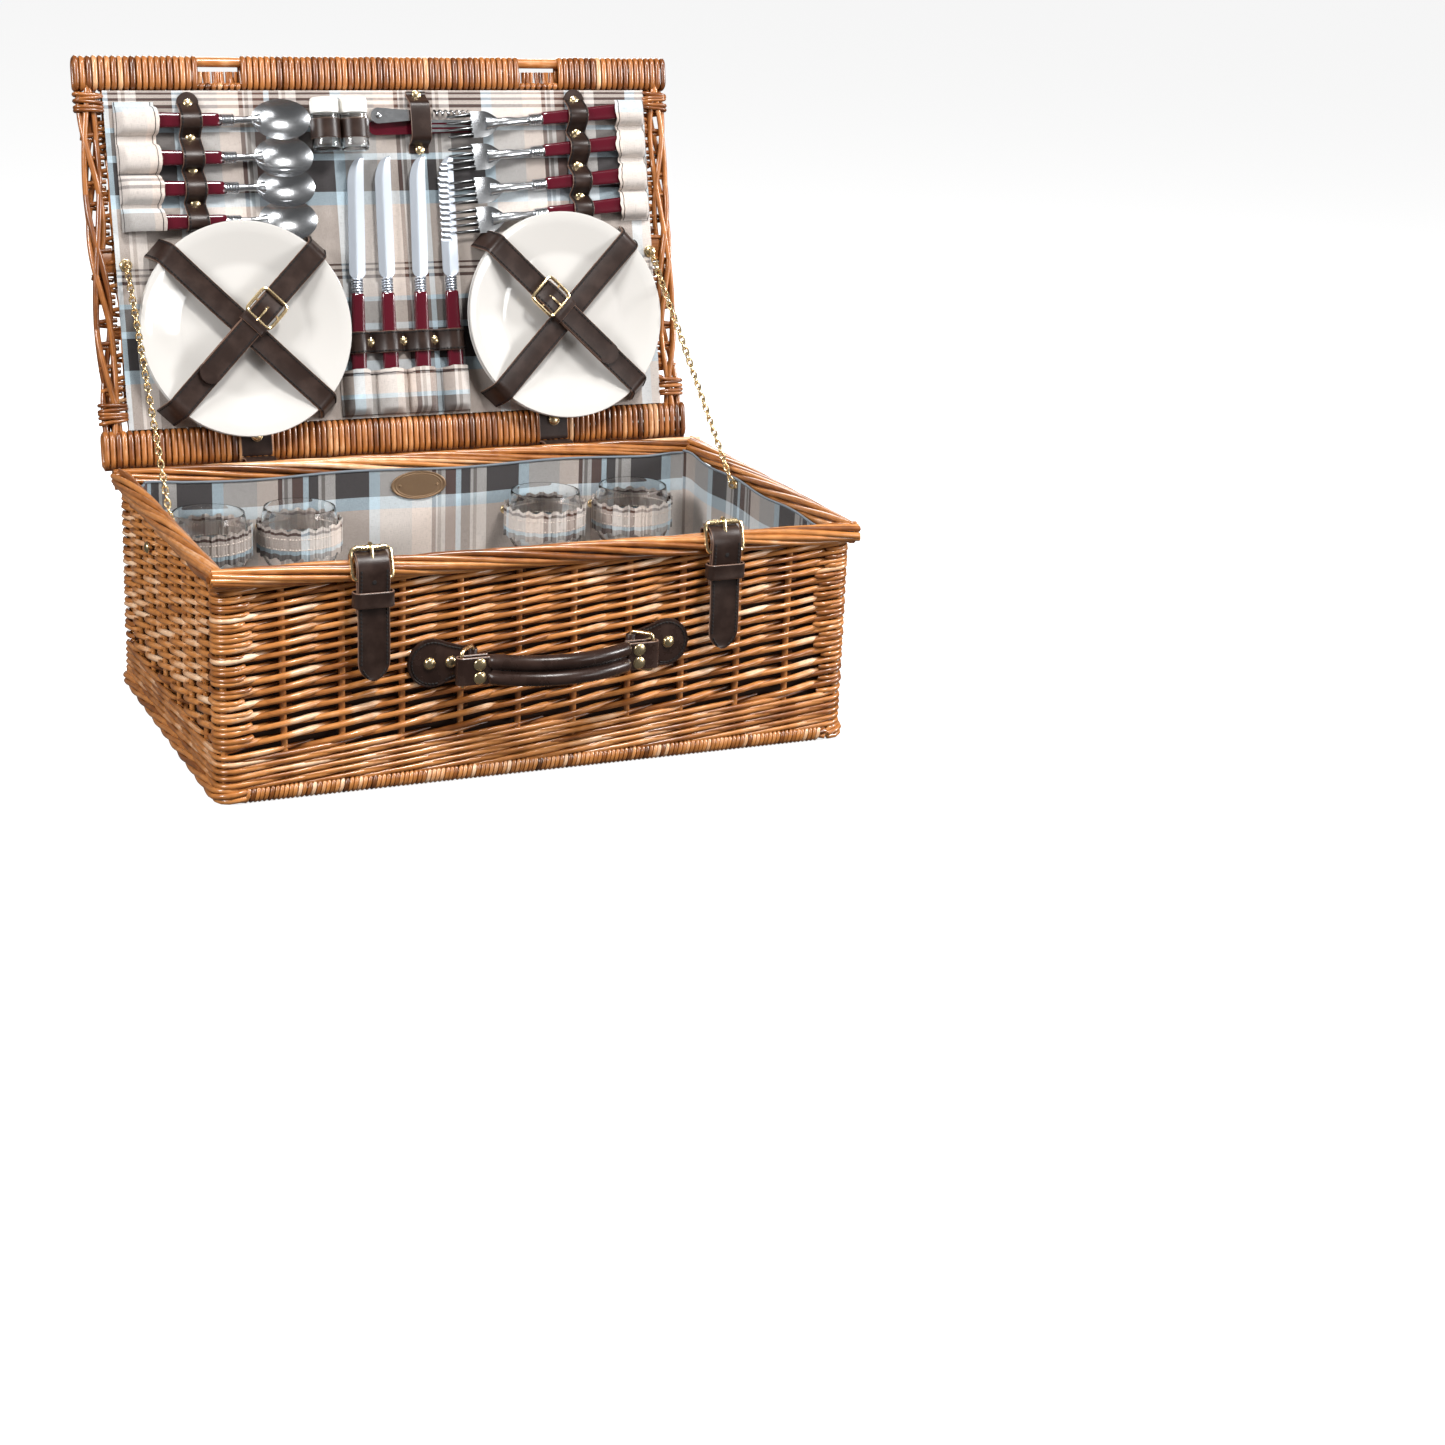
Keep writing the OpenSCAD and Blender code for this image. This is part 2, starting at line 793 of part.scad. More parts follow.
module corkscrew_steel()
    color(steel_colour)
        in_lid() {
            block([corkscrew_x[0] + 4, corkscrew_v + 15 + gap, fit_n + 2],
                  [corkscrew_x[1] - 4, corkscrew_v + 22, fit_n + 9]);
            translate([corkscrew_x[1] - 5, corkscrew_v + 19.5, fit_n + worm_r + gap])
                rotate([0, 90, 0])
                    cylinder(h = 34, r = worm_r);
        }

base_panel();
foot_border();
front_wall();
back_wall();
left_wall();
right_wall();
corner_posts();
rim_border();
basket_lining();
name_plate();
wine_glass_1();
wine_glass_2();
wine_glass_3();
wine_glass_4();
glass_bands();
stay_anchors();
hinge_rim_straps();
closure_loops();
closure_buckles();
closure_keepers();
handle_tabs();
basket_rivets();
strap_tail_left();
strap_tail_right();
handle_grip();
handle_end_loops();
handle_rivets();
handle_ring_left();
handle_ring_right();
chain_upper_left();
chain_upper_right();
chain_lower_left();
chain_lower_right();
lid_weave();
lid_front_border();
lid_rear_border();
lid_side_sticks();
lid_slat();
lid_lining();
hinge_lid_straps();
hinge_studs();
lid_stay_anchors();
cutlery_strips();
strip_rivets();
cutlery_pockets();
spoons();
spoon_handles();
forks();
fork_handles();
knives();
knife_handles();
plates_left();
plates_right();
plate_straps();
plate_buckles();
shaker_jars();
shaker_caps();
tool_loops();
corkscrew_body();
corkscrew_steel();
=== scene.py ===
import math

import bpy
import numpy as np
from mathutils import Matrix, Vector


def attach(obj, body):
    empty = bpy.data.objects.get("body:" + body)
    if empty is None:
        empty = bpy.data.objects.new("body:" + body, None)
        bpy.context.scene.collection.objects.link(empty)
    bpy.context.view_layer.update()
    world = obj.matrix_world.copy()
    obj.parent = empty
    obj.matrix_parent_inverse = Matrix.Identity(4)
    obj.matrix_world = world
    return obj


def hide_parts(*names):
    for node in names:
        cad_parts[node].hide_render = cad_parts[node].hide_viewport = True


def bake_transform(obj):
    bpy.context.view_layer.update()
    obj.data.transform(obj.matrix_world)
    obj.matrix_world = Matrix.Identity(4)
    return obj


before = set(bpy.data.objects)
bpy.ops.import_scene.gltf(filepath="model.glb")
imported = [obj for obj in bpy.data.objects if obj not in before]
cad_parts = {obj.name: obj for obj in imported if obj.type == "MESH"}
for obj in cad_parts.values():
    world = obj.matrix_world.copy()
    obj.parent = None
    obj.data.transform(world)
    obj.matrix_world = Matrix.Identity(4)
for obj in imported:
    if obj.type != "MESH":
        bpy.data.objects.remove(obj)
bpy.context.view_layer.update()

MM = 0.001
rng = np.random.default_rng(7)

# ---------------- sizes, in millimetres
RIM_X, RIM_Y, RIM_TOP = 280.0, 176.0, 193.0      # half width, half depth and top of the rim
WALL_X, WALL_Y = 273.0, 169.0                    # outer faces of the walls
LINING_X, LINING_Y = 261.7, 157.6                # outer faces of the basket's lining
LINING_TOP = 184.0
FLOOR_Z = 12.0
LEAN = math.radians(13.5)                        # how far the open lid leans back
LID_FOOT = np.array([0.0, 196.0, 191.5])         # its lower inner edge
LINING_N = -3.8                                  # the lid lining's face, out of the lid's inner plane
FIT_N = LINING_N + 0.2
STRAP_X, HINGE_X, STRAP_W = 150.0, 142.0, 28.0
HANDLE_X = 1.5

ALONG_LID = np.array([0.0, math.sin(LEAN), math.cos(LEAN)])
OUT_OF_LID = np.array([0.0, -math.cos(LEAN), math.sin(LEAN)])


def lid_point(x, v, n):
    """World place of a point of the lid: x across, v up from its rear edge, n out of its inner face."""
    x, v, n = np.broadcast_arrays(np.asarray(x, float), v, n)
    flat = v[..., None] * ALONG_LID + n[..., None] * OUT_OF_LID + LID_FOOT
    flat[..., 0] += x
    return flat


# ---------------- mesh building
class Build:
    """Gathers a piece's points and faces, in millimetres.

    "tone" is one shade value for each point, and "uv" a place in mm for each corner of a face."""

    def __init__(self):
        self.verts, self.tones, self.quads, self.quad_uv, self.caps = [], [], [], [], []
        self.count = 0

    def add(self, verts, quads, tone=0.5, uv=None, caps=()):
        verts = np.asarray(verts, float).reshape(-1, 3)
        quads = np.asarray(quads, int).reshape(-1, 4)
        self.verts.append(verts)
        self.tones.append(np.broadcast_to(np.asarray(tone, float), len(verts)))
        self.quads.append(quads + self.count)
        if uv is None:
            uv = np.zeros((len(verts), 2))
        uv = np.asarray(uv, float)
        self.quad_uv.append(uv[quads] if uv.ndim == 2 else uv)
        self.caps += [[i + self.count for i in cap] for cap in caps]
        self.count += len(verts)

    def finish(self, name, material, sharp=40.0):
        verts = np.concatenate(self.verts)
        quads = np.concatenate(self.quads)
        quad_uv = np.concatenate(self.quad_uv).reshape(-1, 2)
        mesh = bpy.data.meshes.new(name)
        loops = np.concatenate([quads.ravel(), np.array([i for c in self.caps for i in c], int)])
        sizes = np.concatenate([np.full(len(quads), 4), np.array([len(c) for c in self.caps], int)])
        mesh.vertices.add(len(verts))
        mesh.vertices.foreach_set("co", (verts * MM).ravel())
        mesh.loops.add(len(loops))
        mesh.loops.foreach_set("vertex_index", loops)
        mesh.polygons.add(len(sizes))
        mesh.polygons.foreach_set("loop_start", np.concatenate([[0], np.cumsum(sizes)[:-1]]))
        mesh.update(calc_edges=True)
        mesh.validate()
        uv = np.zeros((len(mesh.loops), 2))
        uv[: len(quad_uv)] = quad_uv
        mesh.uv_layers.new(name="lay").data.foreach_set("uv", uv.ravel())
        tones = mesh.attributes.new("tone", "FLOAT", "POINT")
        tones.data.foreach_set("value", np.concatenate(self.tones).astype(np.float32))
        mesh.polygons.foreach_set("use_smooth", np.ones(len(mesh.polygons), bool))
        mesh.set_sharp_from_angle(angle=math.radians(sharp))
        mesh.materials.append(material)
        piece = bpy.data.objects.new(name, mesh)
        bpy.context.scene.collection.objects.link(piece)
        return piece


def unit(a):
    return a / np.maximum(np.linalg.norm(a, axis=-1, keepdims=True), 1e-9)


def run_along(path):
    """The distance run along a path at each of its points."""
    return np.concatenate([[0], np.cumsum(np.linalg.norm(np.diff(path, axis=0), axis=1))])


def full_turn(count):
    return np.linspace(0, 2 * math.pi, count, endpoint=False)


def circle(count):
    """Cosines and sines once round, in "count" steps."""
    return np.cos(full_turn(count)), np.sin(full_turn(count))


def squared(value, power):
    """A sine or cosine pushed out towards a square: the smaller the power, the squarer the loop."""
    return np.sign(value) * np.abs(value) ** power


def grid_faces(rows, cols, closed=False):
    """The faces of a grid of points. "closed" joins the end of each row to its start."""
    i, j = np.meshgrid(np.arange(rows - 1), np.arange(cols if closed else cols - 1), indexing="ij")
    j1 = (j + 1) % cols
    return np.stack([i * cols + j, i * cols + j1, (i + 1) * cols + j1, (i + 1) * cols + j], -1).reshape(-1, 4)


def grid_area(points):
    """The area in square metres of a grid of points in millimetres, along all its folds."""
    corners = np.cross(np.diff(points, axis=1)[:-1], np.diff(points, axis=0)[:, :-1])
    return float(np.linalg.norm(corners, axis=-1).sum()) / 1e6


def end_caps(rows, cols):
    """The faces that close both ends of a tube of points."""
    return [list(range(cols))[::-1], list(range((rows - 1) * cols, rows * cols))]


def frames(path, up, closed):
    """Tangent, side and up vectors along a path, carried along without twisting, or held to "up"."""
    path = np.asarray(path, float)
    if closed:
        tangent = unit(np.roll(path, -1, 0) - np.roll(path, 1, 0))
    else:
        tangent = unit(np.gradient(path, axis=0))
    if up is not None:
        side = unit(np.cross(tangent, np.broadcast_to(np.asarray(up, float), path.shape)))
        return tangent, side, np.cross(side, tangent)
    axis = np.eye(3)[np.argmin(np.abs(tangent[0]))]
    side = unit(np.cross(tangent[0], axis))
    sides = [side]
    for t in tangent[1:]:
        side = unit(side - t * np.dot(side, t))
        sides.append(side)
    sides = np.array(sides)
    return tangent, sides, np.cross(sides, tangent)


def sweep(build, path, profile, tone=0.5, up=None, scale=1.0, closed=False, wide=None, round_tone=None):
    """Sweeps a profile of (side, up) points along a path. The uv holds mm round the profile and along it.

    "scale" and "wide" set the profile's size and width along the path, "round_tone" its tone round it."""
    path, profile = np.asarray(path, float), np.asarray(profile, float)
    tangent, side, rise = frames(path, up, closed)
    n, m = len(path), len(profile)
    scale = np.broadcast_to(np.asarray(scale, float).reshape(-1, 1, 1), (n, 1, 1))
    if wide is not None:
        side = side * np.asarray(wide, float)[:, None]
    flat = profile[None, :, :1] * side[:, None] + profile[None, :, 1:] * rise[:, None]
    verts = path[:, None] + scale * flat
    i, j = np.meshgrid(np.arange(n if closed else n - 1), np.arange(m), indexing="ij")
    i1, j1 = (i + 1) % n, (j + 1) % m
    quads = np.stack([i * m + j, i * m + j1, i1 * m + j1, i1 * m + j], -1).reshape(-1, 4)
    run = run_along(path)
    girth = np.concatenate([[0], np.cumsum(np.linalg.norm(np.roll(profile, -1, 0) - profile, axis=1))])
    across = np.stack([girth[j], girth[j + 1], girth[j + 1], girth[j]], -1)
    ahead = run[np.minimum(i + 1, n - 1)]
    along = np.stack([run[i], run[i], ahead, ahead], -1)
    uv = np.stack([across, along], -1).reshape(-1, 4, 2)
    caps = [] if closed else end_caps(n, m)
    if round_tone is None:
        tone = np.repeat(np.broadcast_to(np.asarray(tone, float), n), m)
    else:
        tone = np.tile(round_tone, n)
    build.add(verts, quads, tone, uv, caps)


CREASE, CREASE_END, CREASE_DEPTH = 2.6, 3.4, 0.12  # the line pressed in beside a strap's edges


def strap_profile(w, t):
    """A flat strap's section with its edges eased, centred across and standing on its underside."""
    e, half = t * 0.35, w / 2
    right = [[half - e, 0], [half, e], [half, t - e], [half - e, t], [half - CREASE, t],
             [half - CREASE_END, t - CREASE_DEPTH]]
    return np.array(right + [[-x, z] for x, z in right[::-1]])[::-1]


# the cut edges get a lighter colour: a painted highlight
STRAP_TONES = [1.0 if k in (1, 2, 9, 10) else 0.5 for k in range(12)]     # 1 on a strap's cut edges


def tube(build, path, radius, sides=8, tone=0.5, scale=1.0, closed=False, flat=1.0, up=None):
    a = full_turn(sides)
    sweep(build, path, np.stack([np.cos(a) * radius, np.sin(a) * radius * flat], 1), tone, up, scale, closed)


def smooth_path(points, count):
    """A smooth curve through a few points, with its points evenly spaced."""
    p = np.asarray(points, float)
    ghost = np.vstack([2 * p[0] - p[1], p, 2 * p[-1] - p[-2]])
    out = []
    for k in range(len(p) - 1):
        a, b, c, d = ghost[k:k + 4]
        t = np.linspace(0, 1, 24, endpoint=False)[:, None]
        out.append(0.5 * (2 * b + (c - a) * t + (2 * a - 5 * b + 4 * c - d) * t**2
                          + (3 * b - a - 3 * c + d) * t**3))
    fine = np.vstack(out + [p[-1:]])
    run = run_along(fine)
    return np.stack([np.interp(np.linspace(0, run[-1], count), run, fine[:, i]) for i in range(3)], 1)


def lathe(build, profile, turns, place):
    """Turns (radius, height) points about Z, then moves the result with place()."""
    profile = np.asarray(profile, float)
    a = full_turn(turns)
    verts = np.stack([profile[:, None, 0] * np.cos(a), profile[:, None, 0] * np.sin(a),
                      np.broadcast_to(profile[:, None, 1], (len(profile), turns))], -1).reshape(-1, 3)
    i, j = np.meshgrid(np.arange(len(profile) - 1), np.arange(turns), indexing="ij")
    run = run_along(profile)
    uv = np.stack([np.stack([j, j + 1, j + 1, j], -1) * 360 / turns,
                   np.stack([run[i], run[i], run[i + 1], run[i + 1]], -1)], -1)
    ends = []
    if profile[0, 0] > 1e-6:
        ends.append(list(range(turns))[::-1])
    if profile[-1, 0] > 1e-6:
        ends.append(list(range((len(profile) - 1) * turns, len(profile) * turns)))
    build.add(place(verts), grid_faces(len(profile), turns, True), 0.5, uv.reshape(-1, 4, 2), ends)


# ---------------- materials
def srgb(*levels):
    """A colour given by its levels from 0 to 255, as Blender's linear values."""
    shares = [level / 255 for level in levels]
    return (*[c / 12.92 if c <= 0.04045 else ((c + 0.055) / 1.055) ** 2.4 for c in shares], 1.0)


BLACK, WHOLE = (0, 0, 0, 1), (1, 1, 1, 1)        # the two ends of a mask


class Nodes:
    """Short ways to add and link shader nodes."""

    def __init__(self, name):
        self.material = bpy.data.materials.new(name)
        self.material.use_nodes = True
        self.tree = self.material.node_tree
        self.shader = self.tree.nodes["Principled BSDF"]

    def feed(self, socket, value):
        if isinstance(value, bpy.types.NodeSocket):
            self.tree.links.new(value, socket)
        else:
            socket.default_value = value

    def add(self, kind, inputs=None, **settings):
        made = self.tree.nodes.new(kind)
        for key, value in settings.items():
            setattr(made, key, value)
        for key, value in (inputs or {}).items():
            self.feed(made.inputs[key], value)
        return made

    def set(self, **inputs):
        for key, value in inputs.items():
            self.feed(self.shader.inputs[key.replace("_", " ")], value)

    def spread(self, value, low, high):
        """Carries a value from 0 to 1 over to the span from low to high."""
        return self.add("ShaderNodeMapRange", {0: value, 3: low, 4: high}).outputs[0]

    def math(self, operation, a, b=0.0):
        return self.add("ShaderNodeMath", {0: a, 1: b}, operation=operation).outputs[0]

    def mix(self, factor, a, b, blend="MIX"):
        made = self.add("ShaderNodeMix", {0: factor, 6: a, 7: b}, data_type="RGBA", blend_type=blend)
        return made.outputs[2]

    def ramp(self, value, stops, smooth="LINEAR"):
        made = self.add("ShaderNodeValToRGB", {0: value})
        made.color_ramp.interpolation = smooth
        points = made.color_ramp.elements
        while len(points) < len(stops):
            points.new(0.5)
        for point, (at, colour) in zip(points, stops):
            point.position, point.color = at, colour
        return made.outputs[0]

    def noise(self, vector, scale, detail, rough=0.55):
        return self.add("ShaderNodeTexNoise", {"Vector": vector, "Scale": scale, "Detail": detail,
                                               "Roughness": rough}).outputs[0]

    def stretched(self, vector, x, y, z):
        return self.add("ShaderNodeMapping", {0: vector, 3: (x, y, z)}).outputs[0]

    def tone(self):
        return self.add("ShaderNodeAttribute", attribute_name="tone").outputs["Fac"]

    def uv(self):
        return self.add("ShaderNodeUVMap", uv_map="lay").outputs[0]

    def place(self):
        return self.add("ShaderNodeTexCoord").outputs["Object"]

    def bump(self, height, strength, distance):
        return self.add("ShaderNodeBump", {"Height": height, "Strength": strength,
                                           "Distance": distance}).outputs[0]


def willow(name, dark, middle, light, pale):
    """Buff willow: each rod has its own tone, with long streaks, a few knots and a soft varnish. Some rods' tone
    also carries painted shade and painted highlight.
    """
    n = Nodes(name)
    streaks = n.noise(n.stretched(n.uv(), 0.9, 0.035, 1), 1.0, 4.0)
    mottle = n.noise(n.place(), 90.0, 2.0)
    mixed = n.math("ADD", n.math("MULTIPLY", n.tone(), 0.62), n.math("MULTIPLY", streaks, 0.38))
    mixed = n.math("ADD", mixed, n.math("MULTIPLY", n.math("SUBTRACT", mottle, 0.5), 0.28))
    colour = n.ramp(mixed, [(0.1, dark), (0.36, middle), (0.62, light), (0.88, pale)])
    knots = n.ramp(n.noise(n.stretched(n.uv(), 0.5, 0.09, 1), 1.0, 1.0), [(0.70, BLACK), (0.78, WHOLE)])
    colour = n.mix(n.math("MULTIPLY", knots, 0.45), colour, dark)
    rough = n.spread(streaks, 0.26, 0.42)
    n.set(Base_Color=colour, Roughness=rough, Coat_Weight=0.6, Coat_Roughness=0.16,
          Normal=n.bump(streaks, 0.2, 0.0004))
    return n.material


WILLOW = willow("willow", srgb(36, 15, 5), srgb(134, 76, 28), srgb(198, 130, 68), srgb(248, 216, 182))
WILLOW_LID = willow("willow_lid", srgb(32, 13, 4), srgb(122, 67, 25), srgb(182, 115, 58), srgb(244, 206, 162))


def plain(name, colour, roughness, **more):
    n = Nodes(name)
    n.set(Base_Color=colour, Roughness=roughness, **more)
    return n.material


def metal(name, colour, roughness, scratch=0.06):
    """Polished metal with fine smears. Where "tone" is below 0.5 its colour is darkened, a painted dark
    reflection.
    """
    n = Nodes(name)
    # painted dark reflection, used where tone is below 0.5
    painted_dark_reflection = tuple(c * 0.12 for c in colour[:3]) + (1.0,)
    smear = n.noise(n.place(), 260.0, 3.0)
    rough = n.spread(smear, roughness, roughness + scratch)
    bright = n.ramp(n.tone(), [(0.0, BLACK), (0.5, WHOLE)])
    n.set(Base_Color=n.mix(bright, painted_dark_reflection, colour), Metallic=1.0, Roughness=rough)
    return n.material


# the lighter colour painted on straps' cut edges: a painted highlight
EDGE_HIGHLIGHT = srgb(136, 106, 90)


def hide(name, colour, worn, roughness):
    """Smooth leather with a fine grain, a little lighter where it is worn; its cut edges are painted lighter, a
    painted highlight.
    """
    n = Nodes(name)
    cells = n.add("ShaderNodeTexVoronoi", {"Vector": n.place(), "Scale": 900.0}).outputs[0]
    cloud = n.noise(n.place(), 60.0, 4.0, 0.6)
    face = n.mix(n.ramp(cloud, [(0.42, BLACK), (0.72, WHOLE)]), colour, worn)
    n.set(Base_Color=n.mix(n.ramp(n.tone(), [(0.55, BLACK), (1.0, WHOLE)]), face, EDGE_HIGHLIGHT),
          Roughness=n.spread(cloud, roughness - 0.05, roughness + 0.12),
          Specular_IOR_Level=0.35, Normal=n.bump(cells, 0.16, 0.0002))
    return n.material


BRASS = metal("brass", srgb(242, 216, 168), 0.24)
BRASS_DULL = metal("brass_old", srgb(150, 124, 98), 0.5, 0.14)
STEEL = metal("steel", srgb(212, 214, 217), 0.2, 0.08)
BLADE = metal("blade", srgb(198, 205, 215), 0.34, 0.05)
LEATHER = hide("leather", srgb(40, 27, 22), srgb(56, 41, 35), 0.32)
HANDLE_LEATHER = hide("handle_leather", srgb(44, 30, 25), srgb(60, 44, 38), 0.24)
THREAD = plain("thread", srgb(16, 10, 9), 0.8)
BURGUNDY = plain("burgundy", srgb(80, 15, 29), 0.14, Coat_Weight=0.6, Coat_Roughness=0.06)
CHINA = plain("china", srgb(202, 199, 195), 0.1, Coat_Weight=0.5, Coat_Roughness=0.05)
WHITE = plain("white", srgb(240, 238, 233), 0.3)
GLASS = plain("glass", (1, 1, 1, 1), 0.0, Transmission_Weight=1.0, IOR=1.45)


THREAD_PITCH = 0.62                              # two threads of the cloth, in mm


def plaid(name, origin_x, origin_v):
    """A yarn-dyed check: uv holds mm across and up. Warp and weft stripes both show, thread by thread."""
    n = Nodes(name)
    split = n.add("ShaderNodeSeparateXYZ", {0: n.uv()})
    ecru, pale, mid, coal = srgb(216, 202, 192), srgb(190, 187, 184), srgb(122, 116, 112), srgb(50, 46, 47)
    blue, brown = srgb(182, 202, 213), srgb(84, 56, 47)

    def stripes(value, start, bands):
        period = sum(width for width, _ in bands)
        at = n.math("FRACT", n.math("MULTIPLY", n.math("SUBTRACT", value, start), 1 / period))
        stops, run = [], 0.0
        for width, colour in bands:
            stops.append((run / period, colour))
            run += width
        return n.ramp(at, stops, "CONSTANT")

    warp = stripes(split.outputs[0], origin_x, [
        (31, coal), (10, blue), (30, pale), (19, ecru), (4, brown), (2, pale), (3, mid), (4, pale),
        (10, brown), (5, blue), (9, coal), (3, pale), (3, mid), (10, pale)])
    weft = stripes(split.outputs[1], origin_v, [
        (50, ecru), (12, blue), (28, coal), (6, blue), (19.5, mid), (4, blue), (17, ecru), (2.5, brown),
        (4, ecru), (2, brown), (3, ecru), (2, brown), (2, ecru)])
    # warp and weft threads take turns on top
    waves = [n.math("SINE", n.math("MULTIPLY", split.outputs[index], 2 * math.pi / THREAD_PITCH))
             for index in (0, 1)]
    on_top = n.math("MULTIPLY", *waves)
    turn = n.add("ShaderNodeMapRange", {0: on_top, 1: -0.5, 2: 0.5, 3: 0.3, 4: 0.7}).outputs[0]
    colour = n.mix(turn, warp, weft)
    slub = n.noise(n.stretched(n.uv(), 2.6, 0.18, 1), 1.0, 2.0)
    slub2 = n.noise(n.stretched(n.uv(), 0.18, 2.6, 1), 1.0, 2.0)
    shade = n.math("MULTIPLY", n.math("ADD", slub, slub2), 1.0)
    colour = n.mix(0.6, colour, n.ramp(shade, [(0.6, (0.42, 0.42, 0.42, 1)), (1.35, WHOLE)]), "MULTIPLY")
    height = n.math("ADD", on_top, n.math("MULTIPLY", shade, 1.4))
    n.set(Base_Color=colour, Roughness=0.88, Sheen_Weight=0.25, Sheen_Roughness=0.5,
          Normal=n.bump(height, 0.35, 0.0002))
    return n.material


CLOTH = plaid("plaid", -82.0, 169.0)
PIPING = plain("piping", srgb(108, 116, 124), 0.85)
# a dark sheet put behind the linings: painted shade seen through the weave's gaps
SHADE_SHEET = plain("shade_sheet", srgb(58, 38, 27), 0.95)
FLOOR = plain("floor", srgb(190, 190, 190), 0.4, Emission_Color=(1, 1, 1, 1), Emission_Strength=0.82)


def put(build, name, material, body, sharp=40.0, own_node=True):
    """Makes a piece and rides it on its body. It replaces the CAD node of its name if "own_node" is true."""
    piece = build.finish(name + "_made" if own_node else name, material, sharp)
    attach(piece, body)
    if own_node:
        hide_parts(name)
    return piece


# ---------------- willow: the woven walls
WALL_MID, CORNER_R = 5.0, 9.0                    # the weave's middle lies this far inside the wall's face
mid_x, mid_y = WALL_X - WALL_MID, WALL_Y - WALL_MID
run_x, run_y = 2 * (mid_x - CORNER_R), 2 * (mid_y - CORNER_R)
quarter = CORNER_R * math.pi / 2
ROUND = 2 * run_x + 2 * run_y + 4 * quarter


def on_wall(s):
    """Place and outward normal of the weave's middle line, s mm round from the front left corner."""
    s = np.mod(np.asarray(s, float), ROUND)
    spans = [run_x, quarter, run_y, quarter, run_x, quarter, run_y, quarter]
    starts = np.concatenate([[0], np.cumsum(spans)])
    place, normal = np.zeros(s.shape + (2,)), np.zeros(s.shape + (2,))
    corners = [(mid_x - CORNER_R, -mid_y + CORNER_R, -90), (mid_x - CORNER_R, mid_y - CORNER_R, 0),
               (-mid_x + CORNER_R, mid_y - CORNER_R, 90), (-mid_x + CORNER_R, -mid_y + CORNER_R, 180)]
    flats = [((-mid_x + CORNER_R, -mid_y), (1, 0)), ((mid_x, -mid_y + CORNER_R), (0, 1)),
             ((mid_x - CORNER_R, mid_y), (-1, 0)), ((-mid_x, mid_y - CORNER_R), (0, -1))]
    for k in range(4):
        inside = (s >= starts[2 * k]) & (s <= starts[2 * k + 1])
        (px, py), (dx, dy) = flats[k]
        d = s - starts[2 * k]
        place[inside] = np.stack([px + dx * d, py + dy * d], -1)[inside]
        normal[inside] = (dy, -dx)
        inside = (s > starts[2 * k + 1]) & (s < starts[2 * k + 2])
        cx, cy, a0 = corners[k]
        a = np.radians(a0) + (s - starts[2 * k + 1]) / CORNER_R
        place[inside] = np.stack([cx + CORNER_R * np.cos(a), cy + CORNER_R * np.sin(a)], -1)[inside]
        normal[inside] = np.stack([np.cos(a), np.sin(a)], -1)[inside]
    return place, normal


def wall_path(s, out, z):
    place, normal = on_wall(s)
    return np.column_stack([place + normal * np.asarray(out)[:, None], z])


# The stakes: one at each corner, with BAYS_X bays between them along the front and back, BAYS_Y at the sides.
BAYS_X, BAYS_Y = 11, 7
corner_s = [-quarter / 2, run_x + quarter / 2, run_x + 1.5 * quarter + run_y,
            2 * run_x + 2.5 * quarter + run_y, -quarter / 2 + ROUND]
stakes = []
for k, bays in enumerate((BAYS_X, BAYS_Y, BAYS_X, BAYS_Y)):
    for b in range(bays):
        stakes.append(corner_s[k] + (corner_s[k + 1] - corner_s[k]) * b / bays)
stakes = np.array(stakes)
N_STAKES = len(stakes)
CORNERS = (0, BAYS_X, BAYS_X + BAYS_Y, 2 * BAYS_X + BAYS_Y)


def stake_at(index):
    index = np.asarray(index, float)
    turns, rest = np.divmod(index, N_STAKES)
    return np.interp(rest, np.arange(N_STAKES + 1), np.append(stakes, stakes[0] + ROUND)) + turns * ROUND


WALLS = ("front_wall", "right_wall", "back_wall", "left_wall")
weave = {name: Build() for name in WALLS + ("corner_posts",)}


def piece_for(index):
    """The wall that a stroke over stake number "index" belongs to."""
    index = index % N_STAKES
    if index in CORNERS:
        return "corner_posts"
    return WALLS[sum(index > corner for corner in CORNERS) - 1]


STAKE_FOOT, UNDER_RIM = 10.0, 175.0
for index in range(N_STAKES):
    s = stakes[index] + rng.normal(0, 1.0)
    z = np.linspace(STAKE_FOOT, UNDER_RIM, 12)
    drift = np.cumsum(rng.normal(0, 0.25, 12))
    tube(weave[piece_for(index)], wall_path(s + drift, np.full(12, -0.5), z), rng.uniform(2.6, 3.0), 8,
         tone=rng.uniform(0.4, 0.7))


def rod_tone(middle=0.45, spread=0.13, low=0.0, high=1.0):
    """A rod's own shade, from 0, dark, to 1, pale."""
    return np.clip(rng.normal(middle, spread), low, high)


def painted_shade_behind(t):
    """1 along the front of a stroke, fading to nothing where it runs behind the neighbouring stakes; it darkens
    the rod's tone there as painted shade.
    """
    return np.clip((1.0 - np.abs(t)) / 0.42, 0, 1)


# the upsett: rows of three-rod waling above the foot
WALE_ROWS, WALE_Z, WALE_STEP = 5, 15.4, 5.7
for row in range(WALE_ROWS):
    height = WALE_Z + WALE_STEP * row
    for index in range(N_STAKES):
        t = np.linspace(-1.45, 1.5, 27)
        out = -0.4 + 4.0 * np.interp(np.abs(t), [0, 0.75, 1.1, 1.5], [1, 0.8, 0, -1])
        z = height + 4.6 * t + rng.normal(0, 0.25)
        # tone: painted shade where the rod runs behind the stakes, plus a painted highlight on its rising half
        tube(weave[piece_for(index)], wall_path(stake_at(index + t), out, z), rng.uniform(2.2, 2.5), 8,
             tone=rod_tone() * painted_shade_behind(t / 1.35) + np.interp(t, [0, 0.3, 0.8, 1.2], [0, 0.2, 0.25, 0]),
             scale=np.interp(t, [-1.45, -0.6, 0.6, 1.1, 1.5], [0.7, 0.9, 1.05, 0.7, 0.5]))

